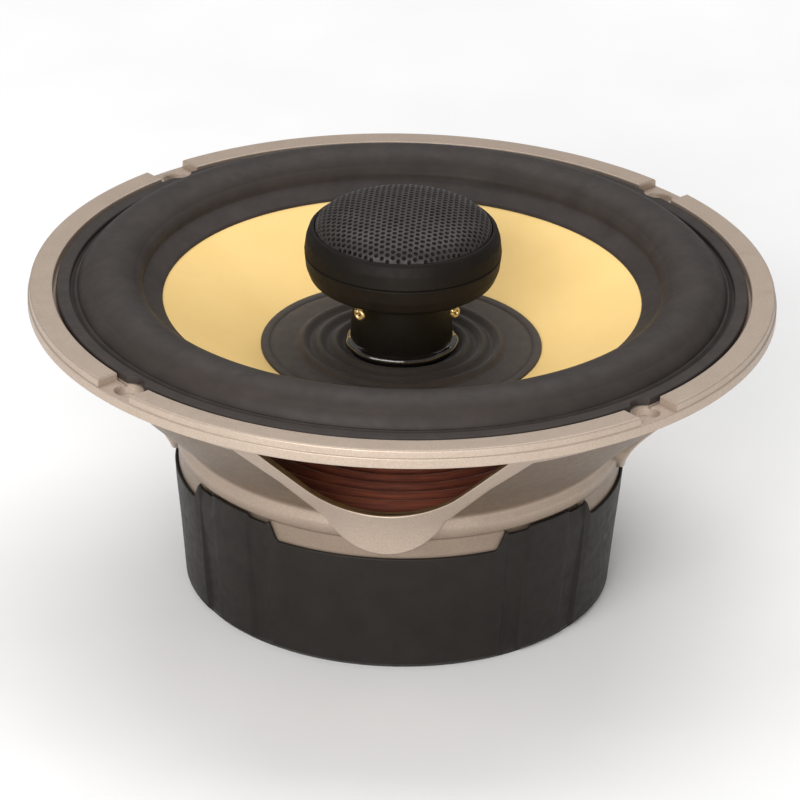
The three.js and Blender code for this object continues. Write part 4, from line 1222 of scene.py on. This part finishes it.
def capacitor():
    """A can in a shrunk sleeve, drawn in over both ends, with a groove at the seal."""
    half = CAPACITOR_LENGTH / 2
    groove_r = CAPACITOR_R - 0.35
    can = turn("sleeved_capacitor", rounded([
        (0, 0.35 - half), (2.9, 0.35 - half, 0.1), (3.0, -half, 0.15), (3.5, -half, 0.3),
        (CAPACITOR_R, 0.8 - half, 0.5), (CAPACITOR_R, half - 3.4, 0.4),
        (groove_r, half - 2.9, 0.3), (groove_r, half - 2.5, 0.3),
        (CAPACITOR_R, half - 2.0, 0.4), (CAPACITOR_R, half - 0.8, 0.5),
        (3.5, half, 0.3), (3.0, half, 0.15), (2.9, half - 0.35, 0.1), (0, half - 0.35),
    ], 0.2), 96)
    stand_for(beside_board(along_x(can)), "crossover_capacitor")
    pad = slab("glue_pad", (8, 4, 4), (0, -CAPACITOR_R - 0.1, 0), 1.3, 0.9)
    rng = np.random.default_rng(11)
    for vertex in pad.data.vertices:
        vertex.co *= 1 + rng.uniform(-0.012, 0.012)
    saddle = along_x(rod("saddle", CAPACITOR_R + 0.12, -12, 12, 0.1, 96))
    combine(beside_board(pad), [beside_board(saddle)], "DIFFERENCE")
    outer_r = SKIRT_R + 1.15
    skirt = turn("skirt", [(30, 20), (outer_r, 20), (outer_r, 60), (30, 60)], 256)
    stand_for(combine(pad, [skirt], "DIFFERENCE"), "capacitor_pad", "frame", 60)


# ---------------- camera, light and floor
def camera():
    """Looks down at the rim from in front, a little to the right of a window."""
    azimuth, elevation, roll = math.radians(3), math.radians(26.23), math.radians(1.11)
    distance, shift_right, shift_up = 1.3907, -0.00054, -0.02568
    target = Vector((0, 0, RIM_TOP * MM))
    level = math.cos(elevation)
    back = Vector((math.sin(azimuth) * level, -math.cos(azimuth) * level, math.sin(elevation)))
    right = Vector((math.cos(azimuth), math.sin(azimuth), 0))
    up = back.cross(right)
    tilted_right = right * math.cos(roll) + up * math.sin(roll)
    tilted_up = up * math.cos(roll) - right * math.sin(roll)
    place = target + back * distance + tilted_right * shift_right + tilted_up * shift_up
    data = bpy.data.cameras.new("camera")
    data.sensor_width = 36
    data.lens = 284
    data.clip_end = 20
    obj = linked("camera", data)
    obj.matrix_world = Matrix((
        (tilted_right.x, tilted_up.x, back.x, place.x),
        (tilted_right.y, tilted_up.y, back.y, place.y),
        (tilted_right.z, tilted_up.z, back.z, place.z),
        (0, 0, 0, 1),
    ))
    bpy.context.scene.camera = obj


def area_light(name, place, target, size, power, colour=(1, 1, 1)):
    data = bpy.data.lights.new(name, "AREA")
    data.shape = "RECTANGLE"
    data.size, data.size_y = size
    data.energy = power
    data.color = colour
    obj = linked(name, data)
    obj.location = place
    obj.rotation_euler = (Vector(target) - Vector(place)).to_track_quat("-Z", "Y").to_euler()


def studio():
    centre = (0, 0, 0.05)
    area_light("key", (-0.4, -1.15, 0.66), centre, (1.0, 0.7), 13)
    area_light("top", (0.0, 0.5, 1.1), centre, (1.2, 0.8), 7.5)
    area_light("front", (0.1, -1.4, 0.3), centre, (1.2, 0.4), 8)
    world = bpy.data.worlds.new("studio")
    world.use_nodes = True
    background = world.node_tree.nodes["Background"]
    background.inputs["Color"].default_value = (1, 1, 1, 1)
    background.inputs["Strength"].default_value = 0.36
    bpy.context.scene.world = world
    bpy.context.scene.view_settings.view_transform = "Standard"


def floor():
    half = 3000
    points = [(-half, -half, 0), (half, -half, 0), (half, half, 0), (-half, half, 0)]
    plane = mesh_object("floor", points, [(0, 1, 2, 3)])
    look = Look("pale_floor", specular=0.2)
    look.colour(look.two_tone(look.noise(60, 2), "fafafa", "ffffff"))
    look.roughness(look.spread(look.noise(40, 2), 0.7, 0.85))
    plane.data.materials.append(look.material)


for build in (camera, basket, gasket, surround, cone, dust_seal, spider, boot, post,
              tweeter_housing, grille, tweeter_inside, lugs, motor, post_screw, basket_screws,
              tweeter_motor, terminal_board, terminal_spacer, terminal_rivet, terminal_blades,
              capacitor, studio, floor):
    build()
